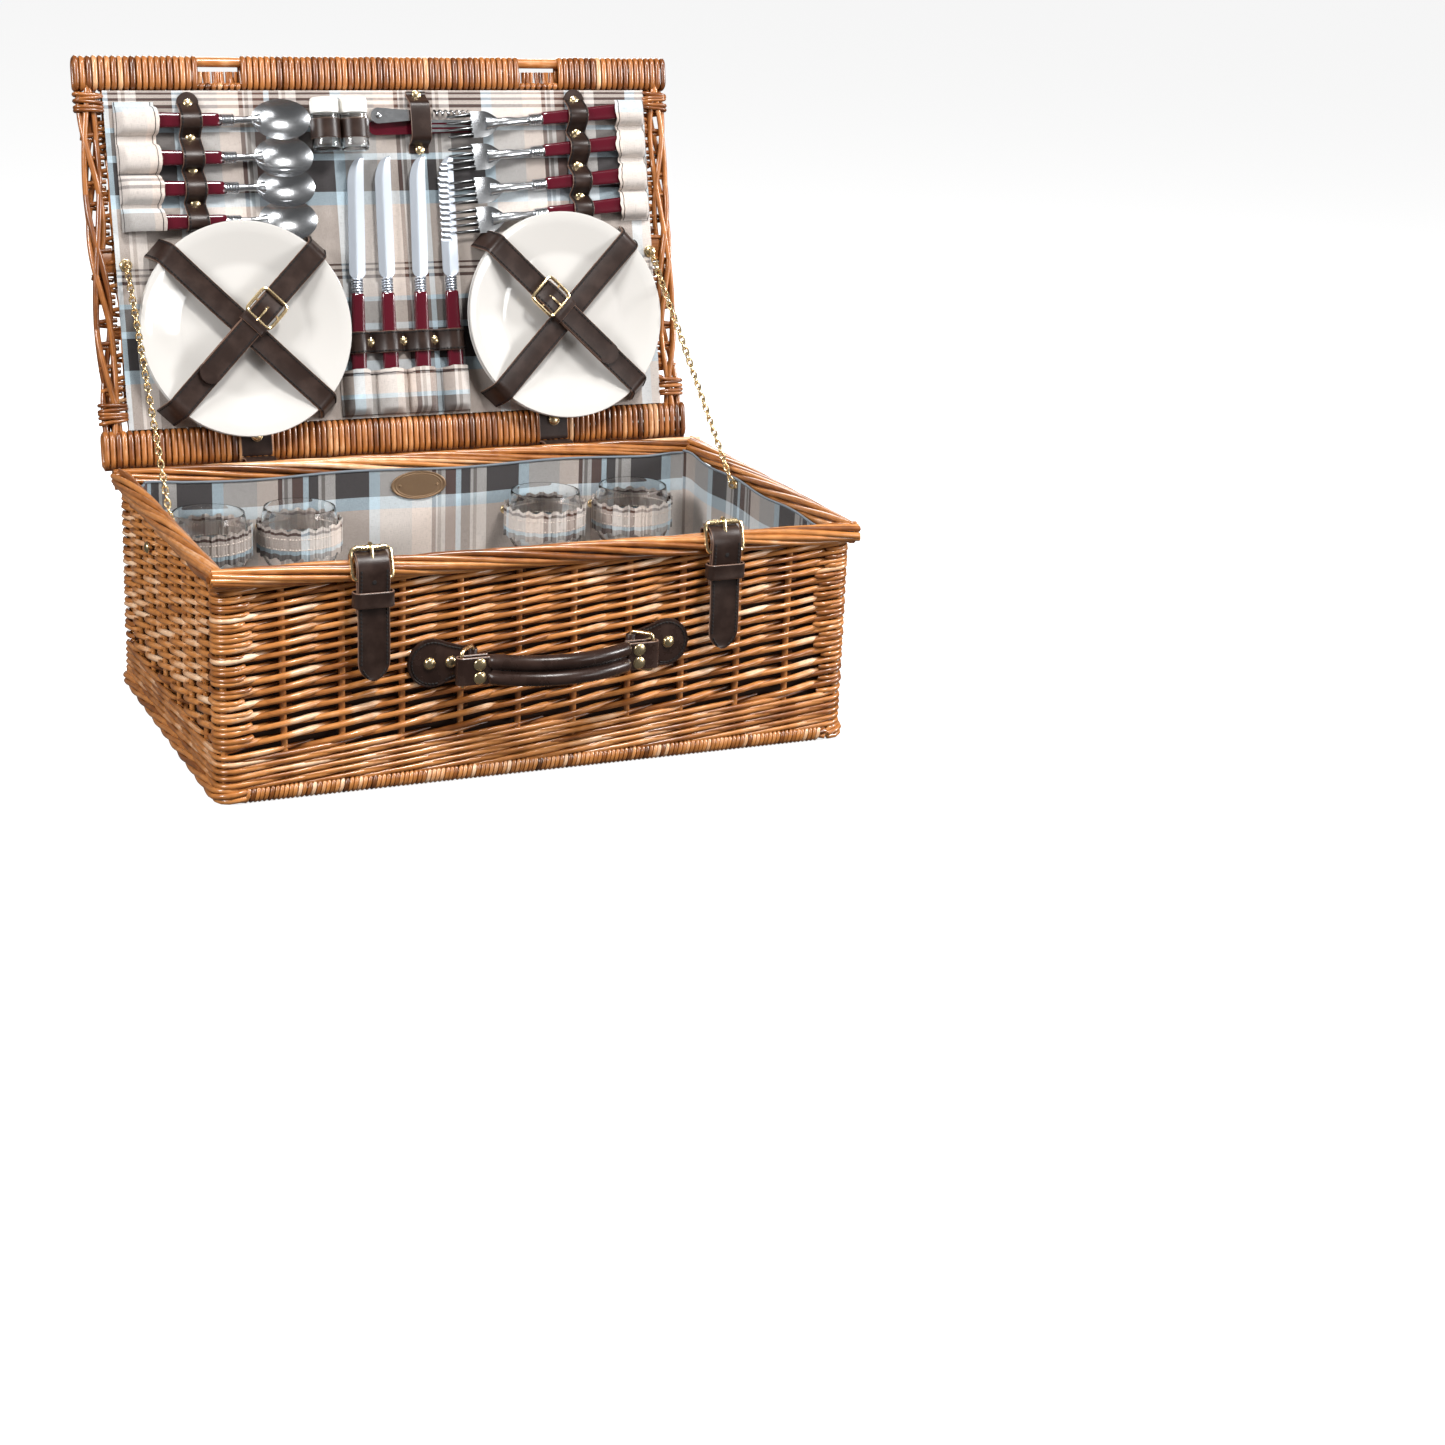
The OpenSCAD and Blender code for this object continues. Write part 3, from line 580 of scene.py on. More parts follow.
# English randing: each rod passes in front of one stake, climbs steadily and dives behind the next one.
# The rods get finer and closer together towards the rim.
ROWS, FIRST_ROW, ROWS_RISE = 30, 46.5, 128.0
for row in range(ROWS):
    f = row / (ROWS - 1)
    low = FIRST_ROW + ROWS_RISE * (1.22 * f - 0.22 * f * f)
    girth = 2.7 - 0.5 * f
    for index in range(N_STAKES):
        thick = girth * rng.uniform(0.92, 1.08)
        tone = rod_tone(low=0.12, high=0.85)
        if (index + row) % 2 == 0:
            t = np.linspace(-1.1, 1.15, 27)
            climb = rng.uniform(0.9, 1.1) * (9.2 - 2.4 * f)
            out = -0.6 + 4.2 * np.cos(math.pi * np.clip(t, -1.02, 1.02))
            rise = climb * (0.95 * np.maximum(t, 0) + 0.76 * np.minimum(t, 0))
            z = low + rise + 0.3 * out + rng.normal(0, 0.35)
            body = np.interp(t, [-1.1, -0.5, 0.1, 0.4, 0.9, 1.15], [0.72, 0.86, 1.0, 1.04, 0.62, 0.5])
            # painted shade where the stroke runs behind the stakes, plus a painted highlight on its rising right
            # half
            shade = tone * painted_shade_behind(t) + np.interp(t, [0, 0.2, 0.55, 0.8], [0, 0.28, 0.34, 0])
        elif index in CORNERS:                   # short turns that fill the corner between the long strokes
            reach = rng.uniform(0.3, 0.52, 2)
            t = np.linspace(-reach[0], reach[1], 15)
            z = low + 4.0 * t + rng.normal(0, 0.4)
            out = 3.3 - 5.5 * np.clip((np.abs(t) - np.where(t < 0, *reach) + 0.12) / 0.14, 0, 1) ** 2
            body, shade = np.full(15, rng.uniform(0.72, 0.92)), np.full(15, tone)
        else:
            continue
        keep = z < UNDER_RIM + 2.5
        if keep.sum() > 9:
            tube(weave[piece_for(index)], wall_path(stake_at(index + t)[keep], out[keep], z[keep]), thick, 8,
                 tone=shade[keep], scale=body[keep])

for name, build in weave.items():
    put(build, name, WILLOW, "basket", 50)


# ---------------- wrapped foot border and rim
def round_rect(half_x, half_y, r, step):
    """Evenly spaced (x, y) points round a rounded rectangle, anticlockwise from above, with their normals."""
    points = []
    for cx, cy, a0 in ((half_x - r, -half_y + r, -90), (half_x - r, half_y - r, 0),
                       (-half_x + r, half_y - r, 90), (-half_x + r, -half_y + r, 180)):
        for a in np.radians(np.linspace(a0, a0 + 90, 9)):
            points.append((cx + r * math.cos(a), cy + r * math.sin(a)))
    p = np.array(points + points[:1])
    run = run_along(p)
    count = int(run[-1] / step)
    s = np.linspace(0, run[-1], count, endpoint=False)
    xy = np.stack([np.interp(s, run, p[:, 0]), np.interp(s, run, p[:, 1])], 1)
    ahead = np.roll(xy, -1, 0) - np.roll(xy, 1, 0)
    normal = unit(np.stack([ahead[:, 1], -ahead[:, 0]], 1))
    return xy, normal


FOOT_LINE = (272.0, 166.5, 12.0)                 # half width, half depth and corner radius of its middle line
FOOT_Z, WRAP_STEP, ROD_STEP = 7.0, 3.8, 6.0
BARE_X = 250.0                                   # past this the rods lie bare, along the basket's sides
foot = Build()
a = full_turn(14)
for at, out in zip(*round_rect(*FOOT_LINE, WRAP_STEP)):
    if abs(at[0]) > BARE_X + 2:
        continue
    ahead = np.array([-out[1], out[0]])
    flat = at + out * (3.1 * np.cos(a))[:, None] + ahead * (1.6 * np.sin(a) + rng.normal(0, 0.15))[:, None]
    tube(foot, np.column_stack([flat, FOOT_Z + 4.9 * np.sin(a)]), 1.85, 7,
         tone=rod_tone(0.55, 0.2, 0.05, 0.95), closed=True)
xy, normal = round_rect(*FOOT_LINE, ROD_STEP)
bare = np.abs(xy[:, 0]) > BARE_X
for strand in range(5):                          # the rods inside the wraps
    turn = 2 * math.pi * strand / 5 + np.arange(len(xy)) * ROD_STEP * 2 * math.pi / 150
    fat = np.where(bare, 1.0, 0.5)
    flat = xy + normal * (3.0 * fat * np.cos(turn))[:, None]
    path = np.column_stack([flat, FOOT_Z + 4.4 * fat * np.sin(turn)])
    # tone 0 where the wraps cover the rods: painted shade seen between the wraps
    tube(foot, path, 2.4, 8, tone=np.where(bare, rng.uniform(0.2, 0.7), 0.0), scale=np.where(bare, 1.0, 0.8),
         closed=True)
put(foot, "foot_border", WILLOW, "basket", 60)

under = Build()                                  # the woven base: bottom sticks with rods across them
BASE_X, BASE_Y, BASE_Z = 262.0, 157.0, 4.4       # half width, half depth and middle height
BASE_STICKS, STICK_STEP = 9, 36.0
BASE_RODS = 60
first_stick = -STICK_STEP * (BASE_STICKS - 1) / 2
for k in range(BASE_STICKS):
    y = np.full(30, first_stick + STICK_STEP * k) + rng.normal(0, 0.4, 30)
    tube(under, np.column_stack([np.linspace(-BASE_X, BASE_X, 30), y, np.full(30, BASE_Z)]), 3.1, 7,
         tone=rng.uniform(0.35, 0.7))
for k in range(BASE_RODS):
    x = -BASE_X + 2 * BASE_X * k / (BASE_RODS - 1)
    y = np.linspace(-BASE_Y, BASE_Y, 73)
    z = BASE_Z + (2.2 * np.cos(math.pi * (y - first_stick) / STICK_STEP)) * (1 if k % 2 else -1)
    tube(under, np.column_stack([np.full(73, x) + rng.normal(0, 0.3), y, z]), 2.0, 6,
         tone=rod_tone(0.45, 0.16, 0.05, 0.9))
put(under, "base_panel", WILLOW, "basket", 60)

rim = Build()
RIM_Z = RIM_TOP - 9.5
RIM_RODS, TWIST = 9, 420.0                       # rods in the rim, and the length of one turn of its twist
long_side, short_side = (RIM_X - 2.5, RIM_Y - 9), (RIM_Y - 4.5, RIM_X - 9.5)
for side in range(4):
    (half, across), flip = (short_side, True) if side % 2 else (long_side, False)
    across = -across if side in (0, 3) else across
    for strand in range(RIM_RODS):
        along = np.linspace(-half + rng.uniform(0, 5), half - rng.uniform(0, 5), int(half / 2.4))
        turn = (2 * math.pi * strand / RIM_RODS + side * 0.7 + along * 2 * math.pi / TWIST
                + 0.26 * np.sin(along / 53 + strand * 1.7))
        thick = 2.5 + 0.22 * np.sin(along / 75 + strand * 2.1)
        y = across + 6.3 * np.cos(turn) + 0.3 * np.sin(along / 31 + strand)
        z = RIM_Z + 6.5 * np.sin(turn)
        path = np.column_stack([y, along, z] if flip else [along, y, z])
        tube(rim, path, 2.5, 9, tone=rod_tone(0.5, 0.2, 0.1, 0.95), scale=thick / 2.5)
    # a core rod inside the twist, toned darkest: painted shade in the gaps between the rim's rods
    core = np.linspace(-half + 6, half - 6, 30)
    path = np.column_stack([core, np.full(30, across), np.full(30, RIM_Z)])
    tube(rim, path[:, [1, 0, 2]] if flip else path, 4.7, 10, tone=0.0)
put(rim, "rim_border", WILLOW, "basket", 50)

# ---------------- the lid's frame and weave
LID_T, SLOT_HALF = 17.8, 17.5                    # thickness of the borders, half width of a strap's slot
FRONT_V, REAR_V = (320.6, 351.6), (-6.0, 28.0)   # from edge to edge of the two borders
BORDER_N, WEAVE_N = -9.0, -11.3                  # middle planes of the borders and of the weave
PITCH, WRAP_R = 5.45, 2.5                        # of the wrapping


def wrap_loop(build, x, v0, v1, n0, n1, r, tone):
    """One turn of a wrapping rod round a border of the lid, as a rounded closed loop with a slight lead."""
    c, s = circle(22)
    v = (v0 + v1) / 2 + (v1 - v0 - 2 * r) / 2 * squared(s, 0.42)
    n = (n0 + n1) / 2 + (n1 - n0 - 2 * r) / 2 * squared(c, 0.7)
    tube(build, lid_point(x + 0.6 * s + rng.normal(0, 0.12), v, n), r, 7, tone=tone, closed=True)


def wrap_tone():
    return rod_tone(0.46, 0.17, 0.04, 0.9)


front, rear = Build(), Build()
lid_half = RIM_X - 2
for k in range(int(2 * lid_half / PITCH)):
    x = -lid_half + PITCH * (k + 0.5)
    wobble = 0.5 * rng.normal(0, 0.35)
    if abs(abs(x) - STRAP_X) < SLOT_HALF:
        wrap_loop(front, x, 321, 328.2, -16.5, -1.2, 2.2, wrap_tone())
    else:
        wrap_loop(front, x, FRONT_V[0], FRONT_V[1] + wobble, -LID_T, 0, WRAP_R + rng.normal(0, 0.08),
                  wrap_tone())
    wrap_loop(rear, x, REAR_V[0] + wobble, REAR_V[1], -LID_T, 0, WRAP_R + rng.normal(0, 0.08), wrap_tone())
along = np.linspace(-276, 276, 60)               # the rods inside the wraps
for v, r in ((325, 2.6), (346.0, 4.4)):
    tube(front, lid_point(along, v + 0.3 * np.sin(along / 40), BORDER_N), r, 10, tone=0.7)
tube(rear, lid_point(np.linspace(-277, 277, 60), -3.2, -8.9), 4.0, 8, tone=0.3)
for v in (6, 18):
    tube(rear, lid_point(along, v, BORDER_N), 4.4, 8, tone=0.6)
for build, middle in ((front, 311.0), (rear, 43.0)):   # bindings that hold the side sticks at the corners
    for side in (-1, 1):
        for k in range(5):
            c, sn = circle(26)
            x = side * (265.5 + 11.8 * squared(c, 0.55))
            n = -9.1 + (6.4 + 0.5 * (k % 2)) * squared(sn, 0.7)
            v = middle + 3.3 * (k - 2) + rng.uniform(-1.8, 1.8) * c + rng.normal(0, 0.4)
            tube(build, lid_point(x, v, n), rng.uniform(1.6, 1.9), 7, tone=wrap_tone() * 0.8, closed=True)
put(front, "lid_front_border", WILLOW_LID, "lid", 60)
put(rear, "lid_rear_border", WILLOW_LID, "lid", 60)

panel = Build()                                  # rods up the lid, woven over and under its cross sticks
STICKS, SLAT_V = [66.0, 114.0, 173.5, 232.0, 286.0], 173.5
levels = np.array([14.0] + STICKS + [334.0])
RODS, RODS_HALF = 124, 252.0
for k in range(RODS):
    x0 = -RODS_HALF + 2 * RODS_HALF * k / (RODS - 1)
    v = np.linspace(12, 338, 84)
    step = np.interp(v, levels, np.arange(len(levels)))
    fade = np.clip(np.minimum(v - 14, 334 - v) / 24, 0, 1)
    n = WEAVE_N - 4.2 * np.cos(math.pi * step) * (1 if k % 2 else -1) * fade
    drift = np.interp(v, levels, rng.normal(0, 0.55, len(levels)))
    shift = 0.5 * np.sin(math.pi * step * 2 + k * 2.4)
    taper = np.linspace(1.06, 0.9, 84) if k % 3 else np.linspace(0.92, 1.08, 84)
    tube(panel, lid_point(x0 + drift + shift, v, n), 2.4, 7, tone=wrap_tone(), scale=taper)
x = np.linspace(-262, 262, 40)
for v0 in STICKS:
    if v0 == SLAT_V:
        continue
    for side in (-1, 1):
        v = v0 + 2.9 * side + 0.5 * np.sin(x / 60 + side)
        tube(panel, lid_point(x, v, WEAVE_N), 2.25, 8, tone=rng.uniform(0.4, 0.7))
put(panel, "lid_weave", WILLOW_LID, "lid", 60)

slat = Build()                                   # one flat split of wood across the middle
x = np.linspace(-264, 264, 30)
section = [[11.5, -0.7], [11.5, 0.7], [10.6, 1.3], [-10.6, 1.3], [-11.5, 0.7], [-11.5, -0.7],
           [-10.6, -1.3], [10.6, -1.3]]
sweep(slat, lid_point(x, SLAT_V, WEAVE_N), section, 0.45, up=OUT_OF_LID)
put(slat, "lid_slat", WILLOW_LID, "lid", 40)

sticks = Build()                                 # long twisted sticks down both sides of the lid
for side in (-1, 1):
    for strand in range(5):
        v = np.linspace(14, 338, 90)
        turn = 2 * math.pi * (strand / 5 + v / (300 if strand % 2 else 190)) * (1 if strand % 2 else -1)
        x = side * (267.5 + 6.4 * np.cos(turn))
        tube(sticks, lid_point(x, v, -9.2 + 4.2 * np.sin(turn)), 2.6, 8, tone=rng.uniform(0.25, 0.7))
    for k in range(26):                          # ends of the weave's rods turned round the sticks
        v = 52 + k * 10 + rng.normal(0, 0.8)
        a = np.linspace(-0.2, math.pi + 0.2, 10)
        x = side * (250 + (24 if k % 2 else 10) * np.abs(np.sin(a)) ** 0.9)
        tube(sticks, lid_point(x, v + 2.6 * np.cos(a), -11.5 + 1.5 * np.cos(a)), 2.1, 7, tone=wrap_tone())
put(sticks, "lid_side_sticks", WILLOW_LID, "lid", 60)


# ---------------- cloth linings
def rumple(a, b, size, seed):
    """Soft random creases, as a sum of a few waves."""
    waves = np.random.default_rng(seed)
    total = 0
    for _ in range(9):
        angle = waves.uniform(0, math.pi)
        length, phase = size * waves.uniform(0.6, 2.2), waves.uniform(0, 6.3)
        total = total + np.sin((a * math.cos(angle) + b * math.sin(angle)) * 2 * math.pi / length + phase)
    return total / 9


LINING_HALF, LINING_V = 254.0, (27.5, 321.0)     # the lid lining's half width, and its lower and upper edge
x, v = np.meshgrid(np.linspace(-LINING_HALF, LINING_HALF, 170), np.linspace(*LINING_V, 100))
edge = np.minimum(np.minimum(LINING_HALF - np.abs(x), v - LINING_V[0]), LINING_V[1] - v)
n = LINING_N - 0.3 + 0.35 * rumple(x, v, 60, 3) * np.clip(edge / 20, 0, 1)
build = Build()
build.add(lid_point(x, v, n), grid_faces(*x.shape), 0.5, np.stack([x, v], -1).reshape(-1, 2))
piece = put(build, "lid_lining", CLOTH, "lid", 60)

# the basket's lining is one cloth: a floor with four walls sewn up at the corners
lx, ly = LINING_X - 1.4, LINING_Y - 1.3
SIDES = ((0, -1), (0, 1), (-1, 0), (1, 0))


def floor_sheet(a, b):
    return np.stack([a, b, np.full_like(a, FLOOR_Z) - 0.4 + 0.4 * rumple(a, b, 70, 5)], -1)


def wall_sheet(sx, sy):
    """The lining of one wall: its span along the wall and up it, and its shape over that span."""
    half = lx if sy else ly

    def shape(a, b):
        rise = (b - FLOOR_Z) / (LINING_TOP - FLOOR_Z)
        gap = half - np.abs(a)
        fade = np.clip(gap / 25, 0, 1) * np.clip(rise * 7, 0, 1)
        inward = (0.5 + 0.6 * rumple(a, b, 85, 11 + sx + 3 * sy)) * fade
        radius = 4 + 16 * rise                   # the corners open out towards the top
        turn = math.pi / 4 * np.clip(1 - gap / radius, 0, 1)
        inward = inward + radius * (1 - np.cos(turn))
        along = np.where(gap < radius, np.sign(a) * (half - radius * (1 - np.sin(turn))), a)
        up = b - rise * (2.6 * np.sin(a / half * 4.2 + 2 * sx + sy) ** 2 + 2.2 * np.clip(gap / 40, 0, 1))
        if sy:
            return np.stack([along, sy * (ly - inward), up], -1)
        return np.stack([sx * (lx - inward), along, up], -1)
    return (-half, half, FLOOR_Z, LINING_TOP, shape)


lining, patches = Build(), [(-lx, lx, -ly, ly, floor_sheet)] + [wall_sheet(*side) for side in SIDES]
sewn = 0.0
for a0, a1, b0, b1, shape in patches:
    a, b = np.meshgrid(np.linspace(a0, a1, int((a1 - a0) / 5)), np.linspace(b0, b1, int((b1 - b0) / 5)))
    lining.add(shape(a, b), grid_faces(*a.shape), 0.5, np.stack([a, b + 73], -1).reshape(-1, 2))
    sewn += (a1 - a0) * (b1 - b0) / 1e6
piece = put(lining, "basket_lining", CLOTH, "basket", 60)

piping = Build()                                 # the hem round the lining's top
for a0, a1, _, top, shape in patches[1:]:
    a = np.linspace(a0, a1, 120)
    tube(piping, shape(a, np.full(120, top)) - np.array([0, 0, 0.6]), 1.15, 7)
put(piping, "lining_piping", PIPING, "basket", own_node=False)

# ---------------- plates and their straps
PLATES = [(-147.0, 111.0), (155.0, 113.0)]
PLATE = [(0.001, 1), (30, 1), (50, 1), (53, 0.2), (56, 0), (58, 0.6), (60, 2), (66, 4.2), (74, 6.6),
         (84, 9.8), (93, 13), (94.6, 13.9), (95, 14.8), (94.4, 15.6), (93, 15.6), (84, 12.7), (74, 9.4), (66, 6.9),
         (61, 5.4), (58, 4.5), (54, 4.2), (30, 4.2), (0.001, 4.2)]
for (px, pv), name in zip(PLATES, ("plates_left", "plates_right")):
    build = Build()
    for base in (FIT_N + 1.4, FIT_N + 1.4 + 5.6):  # two plates, one in the other
        lathe(build, PLATE, 96, lambda p: lid_point(px + p[:, 0], pv + p[:, 1], base + p[:, 2]))
    put(build, name, CHINA, "lid", 35)


def ribbon(build, path, up, w, t):
    """A leather strap along a path through its underside, with its outer face towards "up"."""
    sweep(build, path, strap_profile(w, t), up=up, round_tone=STRAP_TONES)


def rounded_end(build, centre, side, ahead, radius, thick):
    """The rounded end of a strap that lies on the lid."""
    turns = np.linspace(-math.pi / 2, math.pi / 2, 13)
    fan = np.array([centre + side * (radius * math.sin(t)) + ahead * (radius * math.cos(t)) for t in turns])
    m = len(fan)
    edge = [[i, i + 1, m + i + 1, m + i] for i in range(m - 1)]
    build.add(np.vstack([fan, fan + OUT_OF_LID * thick]), edge, caps=end_caps(2, m))


def along_rail(points, step):
    """A smooth curve through a few points, with a point every "step" mm."""
    run = np.linalg.norm(np.diff(np.asarray(points, float), axis=0), axis=1).sum()
    return smooth_path(points, max(6, int(run / step)))


def stitches(build, path, up, offset, pitch=3.8, length=2.6, lift=0.0):
    """A row of short thread stitches beside a strap's path."""
    path = np.asarray(path, float)
    run = run_along(path)
    tangent = unit(np.gradient(path, axis=0))
    side = unit(np.cross(tangent, np.broadcast_to(up, path.shape)))
    rise = np.cross(side, tangent)
    for s in np.arange(2.5, run[-1] - 2.5, pitch):
        at = np.array([s - length / 2, s, s + length / 2])
        mid = np.stack([np.interp(at, run, path[:, i]) for i in range(3)], 1)
        sd = np.stack([np.interp(at, run, side[:, i]) for i in range(3)], 1)
        up_n = np.stack([np.interp(at, run, rise[:, i]) for i in range(3)], 1)
        tube(build, mid + sd * offset + up_n * (lift + np.array([0, 0.35, 0])[:, None]), 0.7, 4)


def buckle(build, centre, right, up, out, w, h, wire, pinned=True):
    """A brass frame with a middle bar and a prong: w across, h along "up"."""
    right, up, out, centre = (np.asarray(a, float) for a in (right, up, out, centre))
    c, s = circle(44)
    px = (w / 2 - wire) * squared(c, 0.28)
    py = (h / 2 - wire) * squared(s, 0.28)
    bend = 0.9 * np.cos(px / w * math.pi)
    loop = centre + right * px[:, None] + up * py[:, None] + out * bend[:, None]
    tube(build, loop, wire, 8, closed=True, up=out)
    if not pinned:
        return
    bar = np.linspace(-w / 2 + wire, w / 2 - wire, 8)
    tube(build, centre + right * bar[:, None], wire * 0.75, 8)
    t = np.linspace(0, 1, 12)
    lift = 0.4 + 2.2 * np.sin(t * math.pi * 0.8)
    prong = centre + up * ((h / 2 - 0.6) * t)[:, None] + out * lift[:, None]
    tube(build, prong, wire * 0.62, 7, scale=np.linspace(1.15, 0.8, 12))
    c, s = circle(14)
    eye = centre + up * (1.5 * c)[:, None] + out * (1.5 * s)[:, None]
    tube(build, eye, 0.9, 6, closed=True)


def dome(build, centre, out, r, h):
    """A domed rivet head."""
    out = unit(np.asarray(out, float))
    side = unit(np.cross(out, [0.3, 0.2, 0.9] if abs(out[2]) < 0.9 else [1, 0, 0]))
    rise = np.cross(out, side)
    profile = [(r, -0.2), (r, 0.25)]
    for t in np.linspace(0, math.pi / 2, 7)[:-1]:
        profile.append((r * 0.93 * math.cos(t), 0.35 + (h - 0.35) * math.sin(t)))
    axes = np.array([side, rise, out])
    lathe(build, profile + [(0.001, h)], 24, lambda p: np.asarray(centre) + p @ axes)


straps, thread, buckles = Build(), Build(), Build()
STRAP_N = 19.4
for index, (px, pv) in enumerate(PLATES):
    for layer, turn in enumerate((-45, 45) if index == 0 else (45, -45)):
        c, s = math.cos(math.radians(turn)), math.sin(math.radians(turn))
        top = STRAP_N + 2.1 * layer
        across = [(-104, FIT_N + 0.2), (-101.5, 4), (-98.5, 12), (-94.5, top - 1.2), (-86, top - 1.0),
                  (-50, top - 2.4 + layer), (-12, top - 2.1 + 0.9 * layer), (0, top - 2 + 1.0 * layer),
                  (12, top - 2.1 + 0.9 * layer), (50, top - 2.4 + layer), (86, top - 1.0),
                  (94.5, top - 1.2), (98.5, 12), (101.5, 4), (104, FIT_N + 0.2)]
        path = along_rail([[a, 0, n] for a, n in across], 2.0)
        place = lid_point(px + path[:, 0] * c, pv + path[:, 0] * s, path[:, 2])
        ribbon(straps, place, OUT_OF_LID, 21.5, 1.8)
        for edge in (-8.6, 8.6):
            stitches(thread, place, OUT_OF_LID, edge, lift=1.75)
    # the upper strap's buckle, its keeper and its free tip
    turn = 45 if index == 0 else 135
    d = np.array([math.cos(math.radians(turn)), math.sin(math.radians(turn))])
    right = np.array([-d[1], d[0]])
    ax = d[0] * np.array([1.0, 0, 0]) + d[1] * ALONG_LID
    side = right[0] * np.array([1.0, 0, 0]) + right[1] * ALONG_LID
    top = STRAP_N + 2.1 + 1.6
    centre = lid_point(px + d[0] * 24, pv + d[1] * 24, top + 1.6)
    buckle(buckles, centre, side, -ax, OUT_OF_LID, 31, 30, 1.6)
    tip = along_rail([[34, 0, top - 0.2], [24, 0, top + 1.6], [14, 0, top + 0.6], [-20, 0, top + 0.3],
                      [-52, 0, top + 0.5]], 2.0)
    place = lid_point(px + tip[:, 0] * d[0], pv + tip[:, 0] * d[1], tip[:, 2])
    ribbon(straps, place, OUT_OF_LID, 21, 1.8)
    for edge in (-8.3, 8.3):
        stitches(thread, place, OUT_OF_LID, edge, lift=1.75)
    rounded_end(straps, place[-1], side, -ax, 10.3, 1.75)
    keeper = lid_point(px + d[0] * 6, pv + d[1] * 6, top + 2.2)
    band = np.linspace(-12.0, 12.0, 15)
    drop = np.where(np.abs(band) > 11.0, -2.6, 0.2)
    ribbon(straps, keeper + side * band[:, None] + OUT_OF_LID * drop[:, None], OUT_OF_LID, 8.5, 1.3)
put(straps, "plate_straps", LEATHER, "lid", 35)
put(buckles, "plate_buckles", BRASS, "lid", 35)

# a dark sheet between the cloths and the weave: painted shade seen through the weave's gaps
x, v = np.meshgrid(np.linspace(-LINING_HALF, LINING_HALF, 30),
                   np.linspace(LINING_V[0] + 0.5, LINING_V[1], 20))
build = Build()
build.add(lid_point(x, v, LINING_N - 1.0), grid_faces(20, 30))
piece = put(build, "lid_shade_sheet", SHADE_SHEET, "lid", own_node=False)
# the same painted shade behind the basket's lining, seen through the walls' gaps
build, sewn = Build(), 0.0
shade_sheet_top = LINING_TOP - 6
for sx, sy in SIDES:
    half = (lx if sy else ly) + 0.6
    a, b = np.meshgrid(np.linspace(-half, half, 20), np.linspace(FLOOR_Z, shade_sheet_top, 8))
    at = np.full_like(a, (sy * (ly + 0.7)) if sy else sx * (lx + 0.7))
    points = np.stack([a, at, b] if sy else [at, a, b], -1).reshape(-1, 3)
    build.add(points, grid_faces(8, 20))
    sewn += 2 * half * (shade_sheet_top - FLOOR_Z) / 1e6
piece = put(build, "basket_shade_sheet", SHADE_SHEET, "basket", own_node=False)

# ---------------- cutlery
SPOONS = [294.6, 262.0, 235.5, 206.5]
FORKS = [297.2, 268.0, 237.7, 211.0]
KNIVES = [(-44.7, 3.0), (-13.6, 1.4), (16.6, 2.1), (48.6, 0.7)]
HANDLE_N = FIT_N + 5.5                           # the middle of the handles, out of the lid
BLADE_FOOT, BLADE_LEN, TOOTH = 107.5, 109.5, 5.0
handles = {"spoon_handles": Build(), "fork_handles": Build(), "knife_handles": Build()}
heads = {"spoons": Build(), "forks": Build(), "knives": Build()}


def lay(x, v, turn):
    """Makes (along, across, n) points of one piece of cutlery into world points."""
    c, s = math.cos(math.radians(turn)), math.sin(math.radians(turn))

    def place(p):
        return lid_point(x + p[..., 0] * c - p[..., 1] * s, v + p[..., 0] * s + p[..., 1] * c, p[..., 2])
    return place


def grip(build, place, start, end, wide=15.4, narrow=12.0):
    """A flat-sided handle that swells towards its butt."""
    c, s = circle(28)
    section = np.stack([squared(c, 0.45), squared(s, 0.62)], 1)
    t = np.concatenate([[0, 0.006, 0.02], np.linspace(0.05, 0.95, 24), [0.985, 0.996, 1]])
    width = (wide + (narrow - wide) * np.minimum(t / 0.86, 1) ** 0.8) / 2
    depth = (9.0 - 1.6 * t) / 2
    ease = np.concatenate([[0.72, 0.9, 0.98], np.ones(24), [0.97, 0.9, 0.8]])
    x = start + (end - start) * t
    verts = np.stack([np.broadcast_to(x[:, None], (len(t), 28)),
                      section[None, :, 0] * (width * ease)[:, None],
                      HANDLE_N + 0.3 + section[None, :, 1] * (depth * ease)[:, None]], -1)
    quads = grid_faces(len(t), 28, True)
    build.add(place(verts), quads if end > start else quads[:, ::-1], caps=end_caps(len(t), 28))


def ferrule(build, place, x, way):
    """The metal collar at a handle's end, wound with bands."""
    c, s = circle(26)
    core = np.stack([x + way * np.linspace(-0.5, 12.5, 8), np.zeros(8), np.full(8, HANDLE_N + 0.3)], -1)
    tube(build, place(core), 4.1, 18, flat=0.85, up=OUT_OF_LID)
    for k in range(5):
        lean = 1.5 if k % 2 == 0 else 1.2
        along = x + way * (1.4 + 2.45 * k) + way * lean * 0.5 * s
        loop = np.stack([along, 4.6 * c, HANDLE_N + 0.3 + 4.0 * s], -1)
        tube(build, place(loop), 1.05, 7, closed=True)


